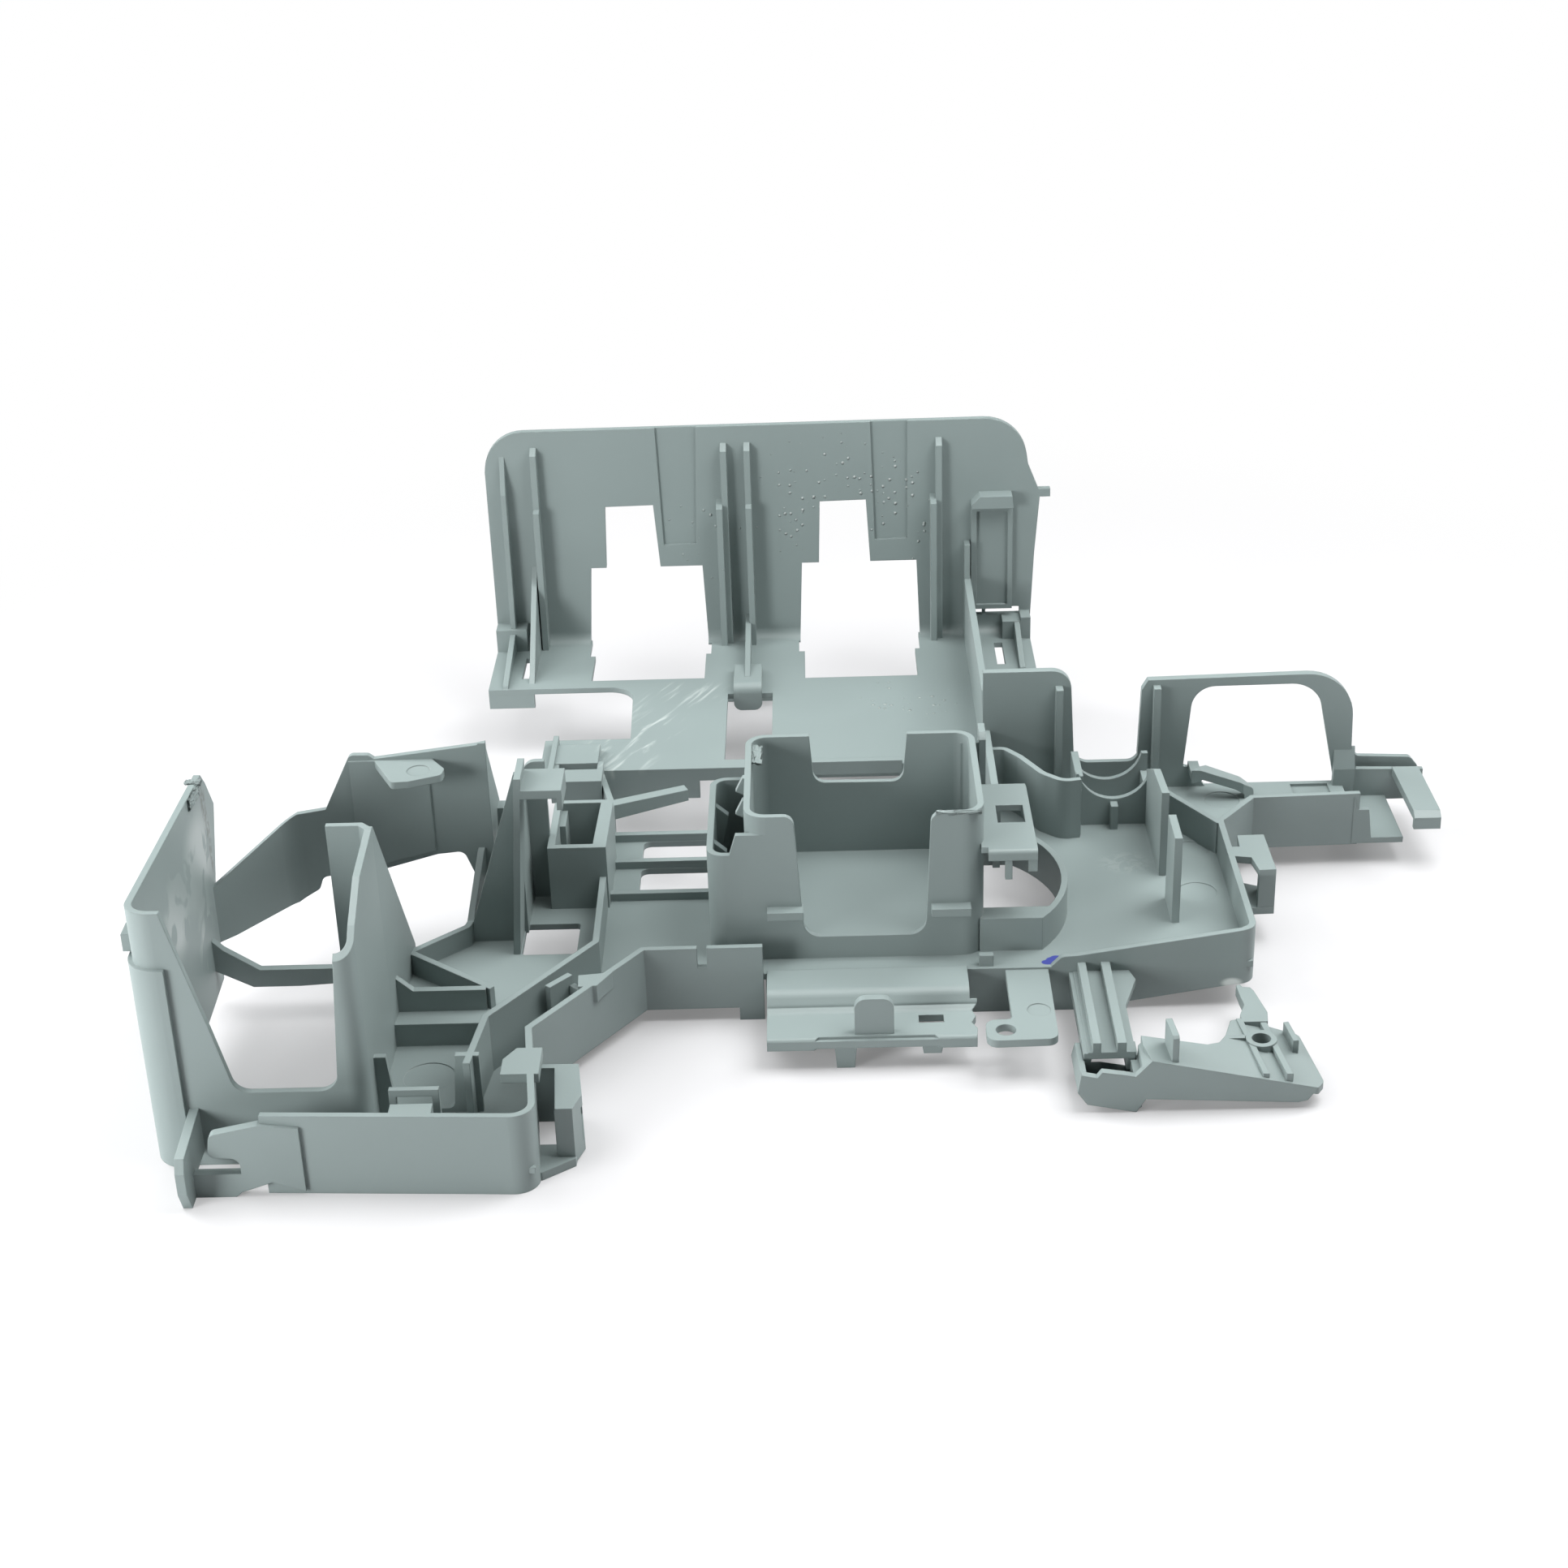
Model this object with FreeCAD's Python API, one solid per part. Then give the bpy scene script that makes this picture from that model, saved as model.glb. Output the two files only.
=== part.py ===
"""Injection moulded plastic housing: one thin-walled moulding and the latch lever broken off it."""
import FreeCAD
import Part
import math
import os

# Wall thicknesses and the levels shared by the whole moulding
WALL = 1.5
WALL_TOP = 20.0
CHANNEL_TOP = 19.2
FLOOR_TOP = 11.5
FLOOR_THICK = 1.5
LOW_FLOOR_TOP = 5.8
SKIRT_LIFT = 3.3
MARK_DEPTH = 0.2

# Front left: frame wall, post and back wall
LEFT_X = -142.8
FRAME_Y = 12.3
LEFT_TOP = 61.5
LEFT_CORNER_R = 6.0
WINDOW_SILL = 18.0
POST_X = -96.5
POST_BACK_Y = 50.4
POST_TOP = 61.2
SKIN_TOP = 48.5
BACK_WALL_Y = 97.0
COLUMN_TOP = 57.0
SHELF_TOP = 54.0
POCKET_BOX_TOP = 28.0

# Centre: box, side pocket and collar
BOX_LEFT = -18.0
BOX_WIDTH = 54.3
BOX_FRONT = 72.4
BOX_DEPTH = 42.4
BOX_TOP = 48.4
BOX_FLOOR_TOP = 17.2
BOX_CORNER_R = 5.0
POCKET_LEFT = -26.7
POCKET_TOP = 38.9
COLLAR_X = 25.0
COLLAR_Y = 94.5
COLLAR_R = 32.2
LEDGE_FRONT = 66.0

# Right: tub, cradles, hoop and bracket arm
TUB_RIGHT = 97.7
TUB_BACK = 119.0
CRADLE_TOP = 25.9
CRADLE_R = 9.0
HOOP_Y = 154.0
HOOP_TOP = 42.5
RIM_DEPTH = 2.2
BLOCK_TOP = 45.1
ARM_FLOOR_TOP = 7.6
ARM_TOP = 15.5

# Rear: deck and upright panel
DECK_FRONT = 154.4
DECK_THICK = 1.5
PANEL_Y = 236.8
PANEL_THICK = 2.0
PANEL_TOP = 83.7
PANEL_FOOT_R = 3.0
PANEL_SIDE_X = -91.2
WINDOW_TOP = 60.8
WINDOW_STEP = 42.6

# Front: platform, screw plate, rail and the lever beside it
SHELF_Z = 8.0
SCREW_HOLE_R = 2.25
SCREW_PLATE_TOP = 11.0
RAIL_FRONT = 32.0
LEVER_Y = 24.0
LEVER_BOSS_X = 94.5
LEVER_BOSS_Y = 38.4
LEVER_BOSS_R = 3.4
LEVER_HOLE_R = 2.1

FLOOR_UNDER = FLOOR_TOP - FLOOR_THICK
DECK_UNDER = WALL_TOP - DECK_THICK
BOX_RIGHT = BOX_LEFT + BOX_WIDTH
BOX_BACK = BOX_FRONT + BOX_DEPTH


# Outlines
def corner(before, here, after):
    """Start, middle and end of the arc that rounds one corner of an outline."""
    radius = here[2] if len(here) > 2 else 0.0
    if radius <= 0.0:
        return here[:2], None, here[:2]
    ax, ay = before[0] - here[0], before[1] - here[1]
    bx, by = after[0] - here[0], after[1] - here[1]
    la, lb = math.hypot(ax, ay), math.hypot(bx, by)
    ax, ay, bx, by = ax / la, ay / la, bx / lb, by / lb
    half = math.acos(max(-1.0, min(1.0, ax * bx + ay * by))) / 2
    reach = min(radius / math.tan(half), 0.98 * la, 0.98 * lb)
    radius = reach * math.tan(half)
    mx, my = ax + bx, ay + by
    lm = math.hypot(mx, my)
    out = radius / math.sin(half) - radius
    start = (here[0] + ax * reach, here[1] + ay * reach)
    end = (here[0] + bx * reach, here[1] + by * reach)
    return start, (here[0] + mx / lm * out, here[1] + my / lm * out), end


def face(points, place):
    """Flat face inside (a, b[, radius]) corners; place(a, b) gives the point in space."""
    count = len(points)
    corners = [corner(points[i - 1], points[i], points[(i + 1) % count]) for i in range(count)]
    edges = []
    for i in range(count):
        start, middle, end = corners[i]
        following = corners[(i + 1) % count][0]
        if middle is not None:
            edges.append(Part.Arc(place(*start), place(*middle), place(*end)).toShape())
        if math.dist(end, following) > 1e-6:
            edges.append(Part.makeLine(place(*end), place(*following)))
    return Part.Face(Part.Wire(edges))


def plan(points, z0, z1):
    """Solid over an (x, y) outline between two heights."""
    flat = face(points, lambda a, b: FreeCAD.Vector(a, b, z0))
    return flat.extrude(FreeCAD.Vector(0, 0, z1 - z0))


def front(points, y0, y1):
    """Solid over an (x, z) outline between two depths."""
    flat = face(points, lambda a, b: FreeCAD.Vector(a, y0, b))
    return flat.extrude(FreeCAD.Vector(0, y1 - y0, 0))


def side(points, x0, x1):
    """Solid over a (y, z) outline between two x positions."""
    flat = face(points, lambda a, b: FreeCAD.Vector(x0, a, b))
    return flat.extrude(FreeCAD.Vector(x1 - x0, 0, 0))


def upright(start, end, points, thickness=WALL):
    """Standing plate over a plan line; points are (distance along it, z), thickened to its left."""
    length = math.dist(start, end)
    dx, dy = (end[0] - start[0]) / length, (end[1] - start[1]) / length
    flat = face(points, lambda a, b: FreeCAD.Vector(start[0] + dx * a, start[1] + dy * a, b))
    return flat.extrude(FreeCAD.Vector(-dy * thickness, dx * thickness, 0))


def block(x0, x1, y0, y1, z0, z1):
    """Rectangular block between the given limits."""
    return Part.makeBox(x1 - x0, y1 - y0, z1 - z0, FreeCAD.Vector(x0, y0, z0))


def disc(x, y, radius, z0, z1):
    """Upright cylinder."""
    return Part.makeCylinder(radius, z1 - z0, FreeCAD.Vector(x, y, z0))


def strip(path, thickness):
    """Outline of an open (x, y[, radius]) path thickened to its left."""
    normals = []
    for a, b in zip(path[:-1], path[1:]):
        length = math.dist(a[:2], b[:2])
        normals.append((-(b[1] - a[1]) / length, (b[0] - a[0]) / length))
    returning = []
    for i, point in enumerate(path):
        n1 = normals[max(i - 1, 0)]
        n2 = normals[min(i, len(normals) - 1)]
        scale = thickness / (1 + n1[0] * n2[0] + n1[1] * n2[1])
        radius = point[2] if len(point) > 2 else 0.0
        if radius > 0.0:
            left_turn = n1[0] * n2[1] - n1[1] * n2[0] > 0
            radius = max(radius - thickness, 0.2) if left_turn else radius + thickness
        returning.append((point[0] + (n1[0] + n2[0]) * scale,
                          point[1] + (n1[1] + n2[1]) * scale, radius))
    return list(path) + returning[::-1]


def wall(path, z0, z1, thickness=WALL):
    """Upright wall that follows an open plan path, thickened to its left."""
    return plan(strip(path, thickness), z0, z1)


def join(shapes):
    """One shape out of overlapping or touching ones."""
    return shapes[0].multiFuse(shapes[1:]).removeSplitter()


def mark(x, y, radius, top):
    """Cutter for the shallow round mark an ejector pin leaves in a surface."""
    return disc(x, y, radius, top - MARK_DEPTH, top + 1)


# Front left
def left_frame():
    """Left wall, frame wall with its window and the post, bent from one strip."""
    shell = wall([(LEFT_X, 93), (LEFT_X, FRAME_Y, LEFT_CORNER_R), (POST_X, FRAME_Y, 4),
                  (POST_X, POST_BACK_Y - 2.5), (POST_X - 2.4, POST_BACK_Y),
                  (POST_X - 10.2, POST_BACK_Y)], 0, LEFT_TOP)
    rear_of_left = side([(11, 80), (11, LEFT_TOP), (84.2, LEFT_TOP - 4.8), (87.5, 53), (92.5, 45.1),
                         (86.7, 33.2), (82.8, 25.7), (79.5, 5.7), (58.8, 4.8), (16, 0), (16, -1),
                         (96, -1), (96, 80)], LEFT_X - 2, LEFT_X + 20)
    over_post = side([(11, 48.3), (14, 50.5), (18.6, 54.1), (29.2, 59.6), (47.9, POST_TOP),
                      (56, POST_TOP), (56, 80), (11, 80)], POST_X - 12, POST_X + 2)
    window = front([(-136.9, 70), (-127.9, 33.9), (-124.2, WINDOW_SILL, 4),
                    (-102.9, WINDOW_SILL, 4), (-100.7, 48.3), (-100.7, 70)],
                   FRAME_Y - 1, FRAME_Y + WALL + 1)
    under_post = block(POST_X - 12, POST_X - WALL, 46, 52, -1, 10)
    under_web = block(POST_X - 2 * WALL, POST_X + 1, FRAME_Y + WALL, 52, -1, LOW_FLOOR_TOP - WALL)
    shell = shell.cut(rear_of_left).cut(over_post).cut(window).cut(under_post).cut(under_web)
    skin = wall([(LEFT_X - 1, 30), (LEFT_X - 1, FRAME_Y - 1, LEFT_CORNER_R + 1),
                 (-135.2, FRAME_Y - 1)], 0, SKIN_TOP, 1.4)
    tab = block(LEFT_X - 2.2, LEFT_X + 0.5, 19, 24, 49, 53)
    return join([shell, skin, tab])


def hook_and_fin():
    """Fin on the frame wall and the hook plate in front of it."""
    fin = side([(FRAME_Y + 0.8, 14.5), (-4, 13), (-5.4, 10), (-5.4, 5), (-3, 0), (1.5, 0), (4, 4),
                (FRAME_Y + 0.8, 4)], -134.5, -132.5)
    hook = front([(-133, 0), (-133, 5.7), (-122.4, 5.7), (-122.4, 9.5, 2), (-128.9, 9.9, 1.5),
                  (-128.2, 15.3, 1.5), (-118, 17.5), (-109.4, 16.6), (-109.4, 1), (-116.2, 3.4),
                  (-122.8, 1.1), (-124, 0)], 0.6, 2.8)
    return join([fin, hook])


def channel_outer_wall():
    """Outer wall that runs along the front left and turns in towards the platform."""
    path = [(-117.5, 1.7), (-60.2, -1.0, 5), (-64, 33.3), (-41.4, 64.8), (-14.5, 65)]
    body = wall(path, 0, CHANNEL_TOP)
    raised = plan([(-70, 33.8), (-60, 33.8), (-38, 62), (-20.2, 62), (-20.2, 70), (-70, 70)],
                  -1, SKIRT_LIFT)
    notch = block(-29.4, -27.2, 60, 70, 14.2, WALL_TOP)
    rear_block = block(-90.8, -82, 1.5, 5, 16.4, CHANNEL_TOP)
    hook_block = plan([(-61, 15.2), (-69.1, 15.2), (-69.1, 21), (-66.5, 25.3), (-61, 25.3)], 17, CHANNEL_TOP)
    pad = plan([(-48, 55.5), (-55.5, 54.6), (-55.2, 49.7), (-51.1, 50)], 15, CHANNEL_TOP)
    rib = upright((-61.5, 49.6), (-56.8, 54.9), [(0, FLOOR_UNDER), (0, CHANNEL_TOP), (7, CHANNEL_TOP),
                                                (7, FLOOR_UNDER)])
    rib = rib.fuse(upright((-57.6, 53.9), (-54.2, 50.6), [(0, FLOOR_UNDER), (0, 17), (4.6, 17),
                                                       (4.6, FLOOR_UNDER)]))
    return join([body.cut(raised).cut(notch), rear_block, hook_block, pad, rib])


def channel_inner_wall():
    """Inner wall of the wire channel, up to the front edge of the deck."""
    body = wall([(-75.8, 18.5), (-73.7, 37), (-51.7, 67.9), (-52.3, 136.9), (-56.5, DECK_FRONT + 1)],
                LOW_FLOOR_TOP - WALL, WALL_TOP)
    return body.cut(block(-80, -40, 49.7, 160, 0, FLOOR_UNDER))


def low_compartment():
    """Sunken floor of the front left compartment with its ribs and clip frame."""
    under = LOW_FLOOR_TOP - WALL
    floor = plan([(POST_X - 1, 2.5), (-61.3, 0.3), (-65, 33.6), (-54.4, 48), (POST_X - 1, 48)],
                 under, LOW_FLOOR_TOP).cut(mark(-87.6, 35.3, 5.7, LOW_FLOOR_TOP))
    riser = block(POST_X - 1, -54.4, 47.9, 49.7, under, FLOOR_TOP)
    bent_rib = front([(-86, under), (-86, 6.8), (-80.3, 6.8, 1.5), (-79.3, WALL_TOP),
                      (-74.2, WALL_TOP), (-74.2, under)], 21.5, 23)
    short_rib = front([(POST_X - 1, under), (POST_X - 1, WALL_TOP), (-94, WALL_TOP), (-92.5, under)],
                      21.5, 23)
    clip = block(-91.9, -81.4, 10, 11.4, under, CHANNEL_TOP)
    clip = clip.cut(block(-90.4, -82.9, 9, 12, LOW_FLOOR_TOP + 1.4, 17.6))
    return join([floor, riser, bent_rib, short_rib, clip])


def upper_floor():
    """Floor behind the riser, past the pocket box and on to the ledge, with its through hole."""
    floor = plan([(POST_X - 0.5, 47.9), (-54.4, 47.9), (-42.2, 66), (-12, 66), (-12, 75), (-26, 75),
                  (-26, 101.2), (-51, 101.2), (-51, 122), (-65.5, 122), (-65.5, 106), (-72.5, 106),
                  (-72.5, 85), (-82.6, 84.5), (-94.8, 72.5), (-96.8, 60)], FLOOR_UNDER, FLOOR_TOP)
    floor = floor.cut(plan([(-70.8, 77, 1), (-58, 77, 1), (-58, 91, 1), (-70.8, 91, 1)],
                           FLOOR_UNDER - 1, FLOOR_TOP + 1))
    under = FLOOR_TOP - 0.5
    cross = front([(-97.6, under), (-97.6, 21.5), (-92.5, 16.8), (-76.3, 16.8), (-76.3, under)],
                  53.3, 55.1)
    brace = upright((-95.4, 69.8), (-75.4, 53.6), [(0, under), (0, 16.8), (25.7, 16.8), (25.7, under)])
    return join([floor, cross, brace])


def post_gusset():
    """Tall triangular wall from the post down to the low wall, and the strut to the left wall."""
    gusset = upright((POST_X, 47.5), (-94.8, 75), [(0, FLOOR_UNDER), (0, POST_TOP), (1, POST_TOP),
                                                  (27.5, 16.6), (27.5, FLOOR_UNDER)])
    strut = front([(LEFT_X + 0.5, 12), (LEFT_X + 0.5, 20.5), (-139, 17), (-131, FLOOR_TOP),
                   (-95, FLOOR_TOP), (-95, 8.6), (-122, 7), (-133, 7)], 73, 75)
    return join([gusset, strut])


def back_left_wall():
    """Bent wall behind the strut, its ejector tab and the turned end."""
    profile = [(-144, 14.5), (-144, 27.5), (-123.5, 39.3), (-116.5, 40.4), (-109.5, 54.4, 1.5),
               (-105.1, 54.3, 1), (-103.9, 53.3), (-80.1, 56.2), (-77.8, 56.7), (-77.8, 21.6),
               (-82.5, 21.6), (-85, 28.5, 2), (-91.2, 27.9), (-103.6, 24.4), (-119, 22.5, 2),
               (-120, 19.3, 2), (-125.2, 16.1), (-138, 14.5)]
    body = wall([(LEFT_X + 1, 80.6), (-125.3, BACK_WALL_Y, 6), (-77.8, BACK_WALL_Y)], 10, 60)
    body = body.common(front(profile, 60, BACK_WALL_Y + 5))
    pad = front([(-109.8, 24.5), (-109.8, 53), (-91.5, 53), (-91.5, 29)], BACK_WALL_Y - 0.5,
                BACK_WALL_Y + 0.5)
    tab = plan([(-104.4, BACK_WALL_Y + 1), (-98.3, 85.3, 1.5), (-94.5, 85.6, 1.5), (-87.2, 88.6, 1.5),
                (-86.9, 91.7, 1), (-91, BACK_WALL_Y + 1)], 51.2, 53).cut(mark(-92.8, 91.2, 2.7, 53))
    end = side([(BACK_WALL_Y, 21.6), (BACK_WALL_Y, 56.7), (113, 34), (113, 25), (106, 21.6)],
               -79.6, -77.8)
    stub = block(-78.5, -73, 108, 112, 28, 34)
    return join([body, pad, tab, end, stub])


def low_diagonal_wall():
    """Low wall from the gusset to the turned end, rising over its last stretch."""
    body = wall([(-95.6, 70.1), (-82.8, 81.9, 3), (-79.5, 99)], FLOOR_UNDER, 32)
    over = side([(60, 16.6), (84.5, 16.6), (96, 29), (101, 31), (101, 40), (60, 40)], -100, -70)
    return body.cut(over)


def column():
    """Slim leaning column with its side gusset, the shelf it carries and the wall behind it."""
    web = front([(-72.7, FLOOR_TOP - 0.5), (-69.8, 52), (-69.4, COLUMN_TOP), (-67.8, COLUMN_TOP),
                 (-68.2, 52), (-71.1, FLOOR_TOP - 0.5)], 77.3, 88)
    stem = front([(-72.7, FLOOR_TOP - 0.5), (-69.8, 52), (-68.2, 52), (-71.1, FLOOR_TOP - 0.5)], 77.3, 89)
    shelf = block(-69.2, -58.8, 77.3, 88.5, SHELF_TOP - 2.1, SHELF_TOP)
    flange = block(-60, -58.8, 77.3, 88.5, SHELF_TOP - 5, SHELF_TOP)
    gusset = front([(-82.6, FLOOR_UNDER), (-82.3, 16.6), (-70.2, 55), (-69, 55), (-71.5, FLOOR_UNDER)],
                   83.7, 85.2)
    rear = front([(-70.5, FLOOR_TOP - 0.5), (-70.5, 48, 3), (-65.3, 48), (-65.3, FLOOR_TOP - 0.5)],
                 104.3, 105.8)
    rear_side = block(-71.6, -70.1, 88, 105.8, FLOOR_TOP - 0.5, 40)
    return join([web, stem, shelf, flange, gusset, rear, rear_side])


def pocket_box():
    """Open box beside the wire channel, with a wide rim on the channel's side."""
    outer = plan([(-65.5, 98.2), (-51.6, 98.2), (-51.2, 122.8, 2), (-65.5, 122.8, 2)], FLOOR_UNDER,
                 POCKET_BOX_TOP)
    inner = plan([(-63.8, 100), (-54.8, 100), (-54.2, 121.2), (-63.8, 121.2)], FLOOR_TOP,
                 POCKET_BOX_TOP + 1)
    step = block(-64.5, -62.4, 113, 121.5, FLOOR_TOP - 0.5, POCKET_BOX_TOP - 2)
    return join([outer.cut(inner), step])


def corner_bracket():
    """Bracket outside the front corner: leg, top plate, side wall, back web and foot."""
    top = 14.1
    plate = plan([(-58.9, 26.5), (-57.5, 9.4), (-53.9, 9.4), (-52.2, 14.5), (-53.7, 26.5)], top - 1.5, top)
    leg = plan([(-57.7, 9.4), (-53.9, 9.4), (-53.7, 10.9), (-57.5, 10.9)], 0, top - 0.5)
    web = block(-63.9, -53.7, 25, 26.5, 0.4, top)
    cheek = plan([(-53.9, 9.4), (-52.2, 14.5), (-53.7, 26.5), (-55.2, 26.5), (-53.7, 14.6),
                  (-55.3, 10)], 0.4, top)
    cheek = cheek.cut(block(-57, -50, 13.5, 24, 3, 11.5))
    foot = plan([(-62.2, 3.9), (-60.5, 3.9), (-53.8, 8.8), (-53.6, 12.3), (-54.2, 14.1), (-63.3, 14.1)],
                0, 2)
    return join([plate, leg, web, cheek, foot])


# Centre
def floor_grid():
    """Three cross ribs over the open slots between the channel and the side pocket."""
    left, right = -52.6, POCKET_LEFT + 0.6
    floor = block(left, right, 101, 133, FLOOR_UNDER, FLOOR_TOP)
    slots = [plan([(-45, y0, 2), (right - 1.6, y0), (right - 1.6, y1), (-45, y1, 2)], FLOOR_UNDER - 1,
                  FLOOR_TOP + 1) for y0, y1 in ((103, 117), (119, 131))]
    ribs = [block(left, right, y, y + 1.8, FLOOR_UNDER, FLOOR_TOP + 2) for y in (101.2, 117.1, 131.1)]
    finger = upright((-53, 134.6), (-34, 142.5), [(0, 16), (0, WALL_TOP), (20.6, WALL_TOP),
                                                 (20.6, 17)], 3)
    return join([floor.cut(slots[0]).cut(slots[1])] + ribs + [finger])


def box_outline(inset, radius):
    """Rounded outline of the central box, moved inwards by inset."""
    x0, x1 = BOX_LEFT + inset, BOX_RIGHT - inset
    y0, y1 = BOX_FRONT + inset, BOX_BACK - inset
    return [(x0, y0, radius), (x1, y0, radius), (x1, y1, radius), (x0, y1, radius)]


def central_box():
    """Deep open box with a slot in front and a notch behind."""
    body = plan(box_outline(0, BOX_CORNER_R), FLOOR_UNDER, BOX_TOP)
    room = plan(box_outline(WALL, BOX_CORNER_R - WALL), BOX_FLOOR_TOP, BOX_TOP + 1)
    underside = plan(box_outline(WALL, BOX_CORNER_R - WALL), 0, BOX_FLOOR_TOP - WALL)
    slot = front([(-11, BOX_TOP + 1), (-11, BOX_TOP), (-6.8, BOX_TOP, 2.5), (-4.9, BOX_FLOOR_TOP, 4),
                  (22.9, BOX_FLOOR_TOP, 4), (24.2, BOX_TOP, 2.5), (28.4, BOX_TOP),
                  (28.4, BOX_TOP + 1)], BOX_FRONT - 1, BOX_FRONT + WALL + 0.5)
    notch = front([(-3, BOX_TOP + 1), (-2, 36, 3), (19.3, 35.8, 3), (20.4, BOX_TOP + 1)],
                  BOX_BACK - WALL - 0.5, BOX_BACK + 1)
    ledges = [block(-13.3, -5, BOX_FRONT - 3, BOX_FRONT + 1, 23.3, 25.3),
              block(24.1, 33.1, BOX_FRONT - 3, BOX_FRONT + 1, 23.3, 25.3)]
    body = body.cut(room).cut(underside).cut(slot).cut(notch)
    return join([body] + ledges)


def side_pocket():
    """Narrow pocket on the left of the box with its locking teeth."""
    body = wall([(BOX_LEFT + 1, 111.5), (POCKET_LEFT, 111.5, 4), (POCKET_LEFT, BOX_FRONT, 4),
                 (BOX_LEFT + BOX_CORNER_R + 0.5, BOX_FRONT)], FLOOR_UNDER, POCKET_TOP + 5)
    over = front([(POCKET_LEFT - 1, POCKET_TOP), (BOX_LEFT - 3.4, POCKET_TOP), (BOX_LEFT - 1.9, 43.9),
                  (BOX_LEFT + 1, 43.9), (BOX_LEFT + 1, 60), (POCKET_LEFT - 1, 60)],
                 BOX_FRONT - 1, BOX_FRONT + 6)
    rear_over = block(POCKET_LEFT - 1, BOX_LEFT + 0.5, BOX_FRONT + 5.9, 113, POCKET_TOP, 60)
    floor = block(POCKET_LEFT + 1, BOX_LEFT + 1, BOX_FRONT + 1, 111, FLOOR_UNDER, FLOOR_TOP)
    x0 = POCKET_LEFT + 1
    teeth = [front([(x0, 26), (x0, 37.5), (x0 + 3.4, 34.5), (x0 + 1.8, 26)], y, y + 2)
             for y in (82, 100)]
    barbs = [front([(BOX_LEFT + 1, top - 5), (BOX_LEFT + 1, top), (BOX_LEFT - 0.4, top),
                    (BOX_LEFT - 2.1, top - 3.4)], y, y + 1.8) for y, top in ((92, 48.4), (85, 46.2))]
    return join([body.cut(over).cut(rear_over), floor] + teeth + barbs)


def box_clip():
    """Clip plate with a hole on the right of the box, its lip, prong and ear."""
    x0 = BOX_RIGHT - 0.8
    x1 = BOX_RIGHT + 11.8
    top = 39.2
    plate = plan([(x0, 72.8), (x1, 72.8, 1.5), (x1 - 0.2, 104, 1.5), (x0, 104)], top - WALL, top)
    hole = block(x1 - 8.1, x1 - 1.8, 84.6, 93.1, 30, 40)
    lip = side([(71, top, 1), (74.5, top), (74.5, top - WALL), (72.6, top - WALL), (72.6, 36.6),
                (71, 36.6)], x0 + 1.5, x1)
    prong = block(x1 - 7.3, x1 - 5.7, 71.2, 72.6, 31.7, 37)
    leg = block(x1 - 2.1, x1, 71.2, 72.6, 33.6, 37)
    rear_lip = block(x1 - 1.8, x1 - 0.3, 96.5, 104, 35, top)
    ear = side([(111.5, 38), (111.5, 47.2), (113, 48.7), (117.6, 48.7), (117.6, 20), (114, 20)],
               BOX_RIGHT + 1.1, BOX_RIGHT + 2.7)
    root = block(BOX_RIGHT - 3.3, BOX_RIGHT + 1.7, 112.4, 114, 20, 46)
    return join([plate.cut(hole), lip, prong, leg, rear_lip, ear, root])


def main_floor():
    """Ledge in front of the box and the tub floor behind it, open inside the collar."""
    outline = [(-14, LEDGE_FRONT), (TUB_RIGHT - 0.7, LEDGE_FRONT + 0.5), (TUB_RIGHT - 0.7, TUB_BACK),
               (86.8, 136), (64, 136), (64, 148), (41.2, 148), (41.2, 120), (34, 120), (34, 112),
               (34, 76), (-14, 76)]
    floor = plan(outline, FLOOR_UNDER, FLOOR_TOP)
    skirt = block(-14, 53, LEDGE_FRONT, LEDGE_FRONT + WALL, 0, FLOOR_TOP)
    tongue = block(34.7, 38, LEDGE_FRONT + 1, LEDGE_FRONT + 2.6, FLOOR_TOP - 0.5, 14.3)
    marks = mark(88.8, 99, 4.7, FLOOR_TOP).fuse(mark(90.2, 120, 4.4, FLOOR_TOP))
    return join([floor, skirt, tongue]).cut(marks)


def collar_outline(radius, front_y, back_y):
    """D outline: straight front and back, round on the right."""
    reach = math.sqrt(radius ** 2 - (COLLAR_Y - front_y) ** 2)
    rear_reach = math.sqrt(radius ** 2 - (back_y - COLLAR_Y) ** 2)
    start = FreeCAD.Vector(COLLAR_X + reach, front_y, 0)
    end = FreeCAD.Vector(COLLAR_X + rear_reach, back_y, 0)
    middle = FreeCAD.Vector(COLLAR_X + radius, COLLAR_Y, 0)
    inner_x = BOX_RIGHT - 1
    back_left = FreeCAD.Vector(inner_x, back_y, 0)
    front_left = FreeCAD.Vector(inner_x, front_y, 0)
    edges = [Part.makeLine(front_left, start), Part.Arc(start, middle, end).toShape(),
             Part.makeLine(end, back_left), Part.makeLine(back_left, front_left)]
    return Part.Face(Part.Wire(edges))


def collar(floor):
    """D-shaped collar right of the box, with the floor opened inside it."""
    outer = collar_outline(COLLAR_R, BOX_FRONT + 1.4, BOX_BACK + 4)
    inner = collar_outline(COLLAR_R - WALL, BOX_FRONT + 6.7, BOX_BACK + 4 - WALL)
    outer.translate(FreeCAD.Vector(0, 0, FLOOR_UNDER))
    inner.translate(FreeCAD.Vector(0, 0, FLOOR_UNDER - 1))
    body = outer.extrude(FreeCAD.Vector(0, 0, WALL_TOP - FLOOR_UNDER))
    opening = inner.extrude(FreeCAD.Vector(0, 0, WALL_TOP - FLOOR_UNDER + 2))
    opening = opening.cut(block(0, BOX_RIGHT - 0.5, 60, 130, 0, 60))
    return join([floor, body]).cut(opening)


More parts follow.
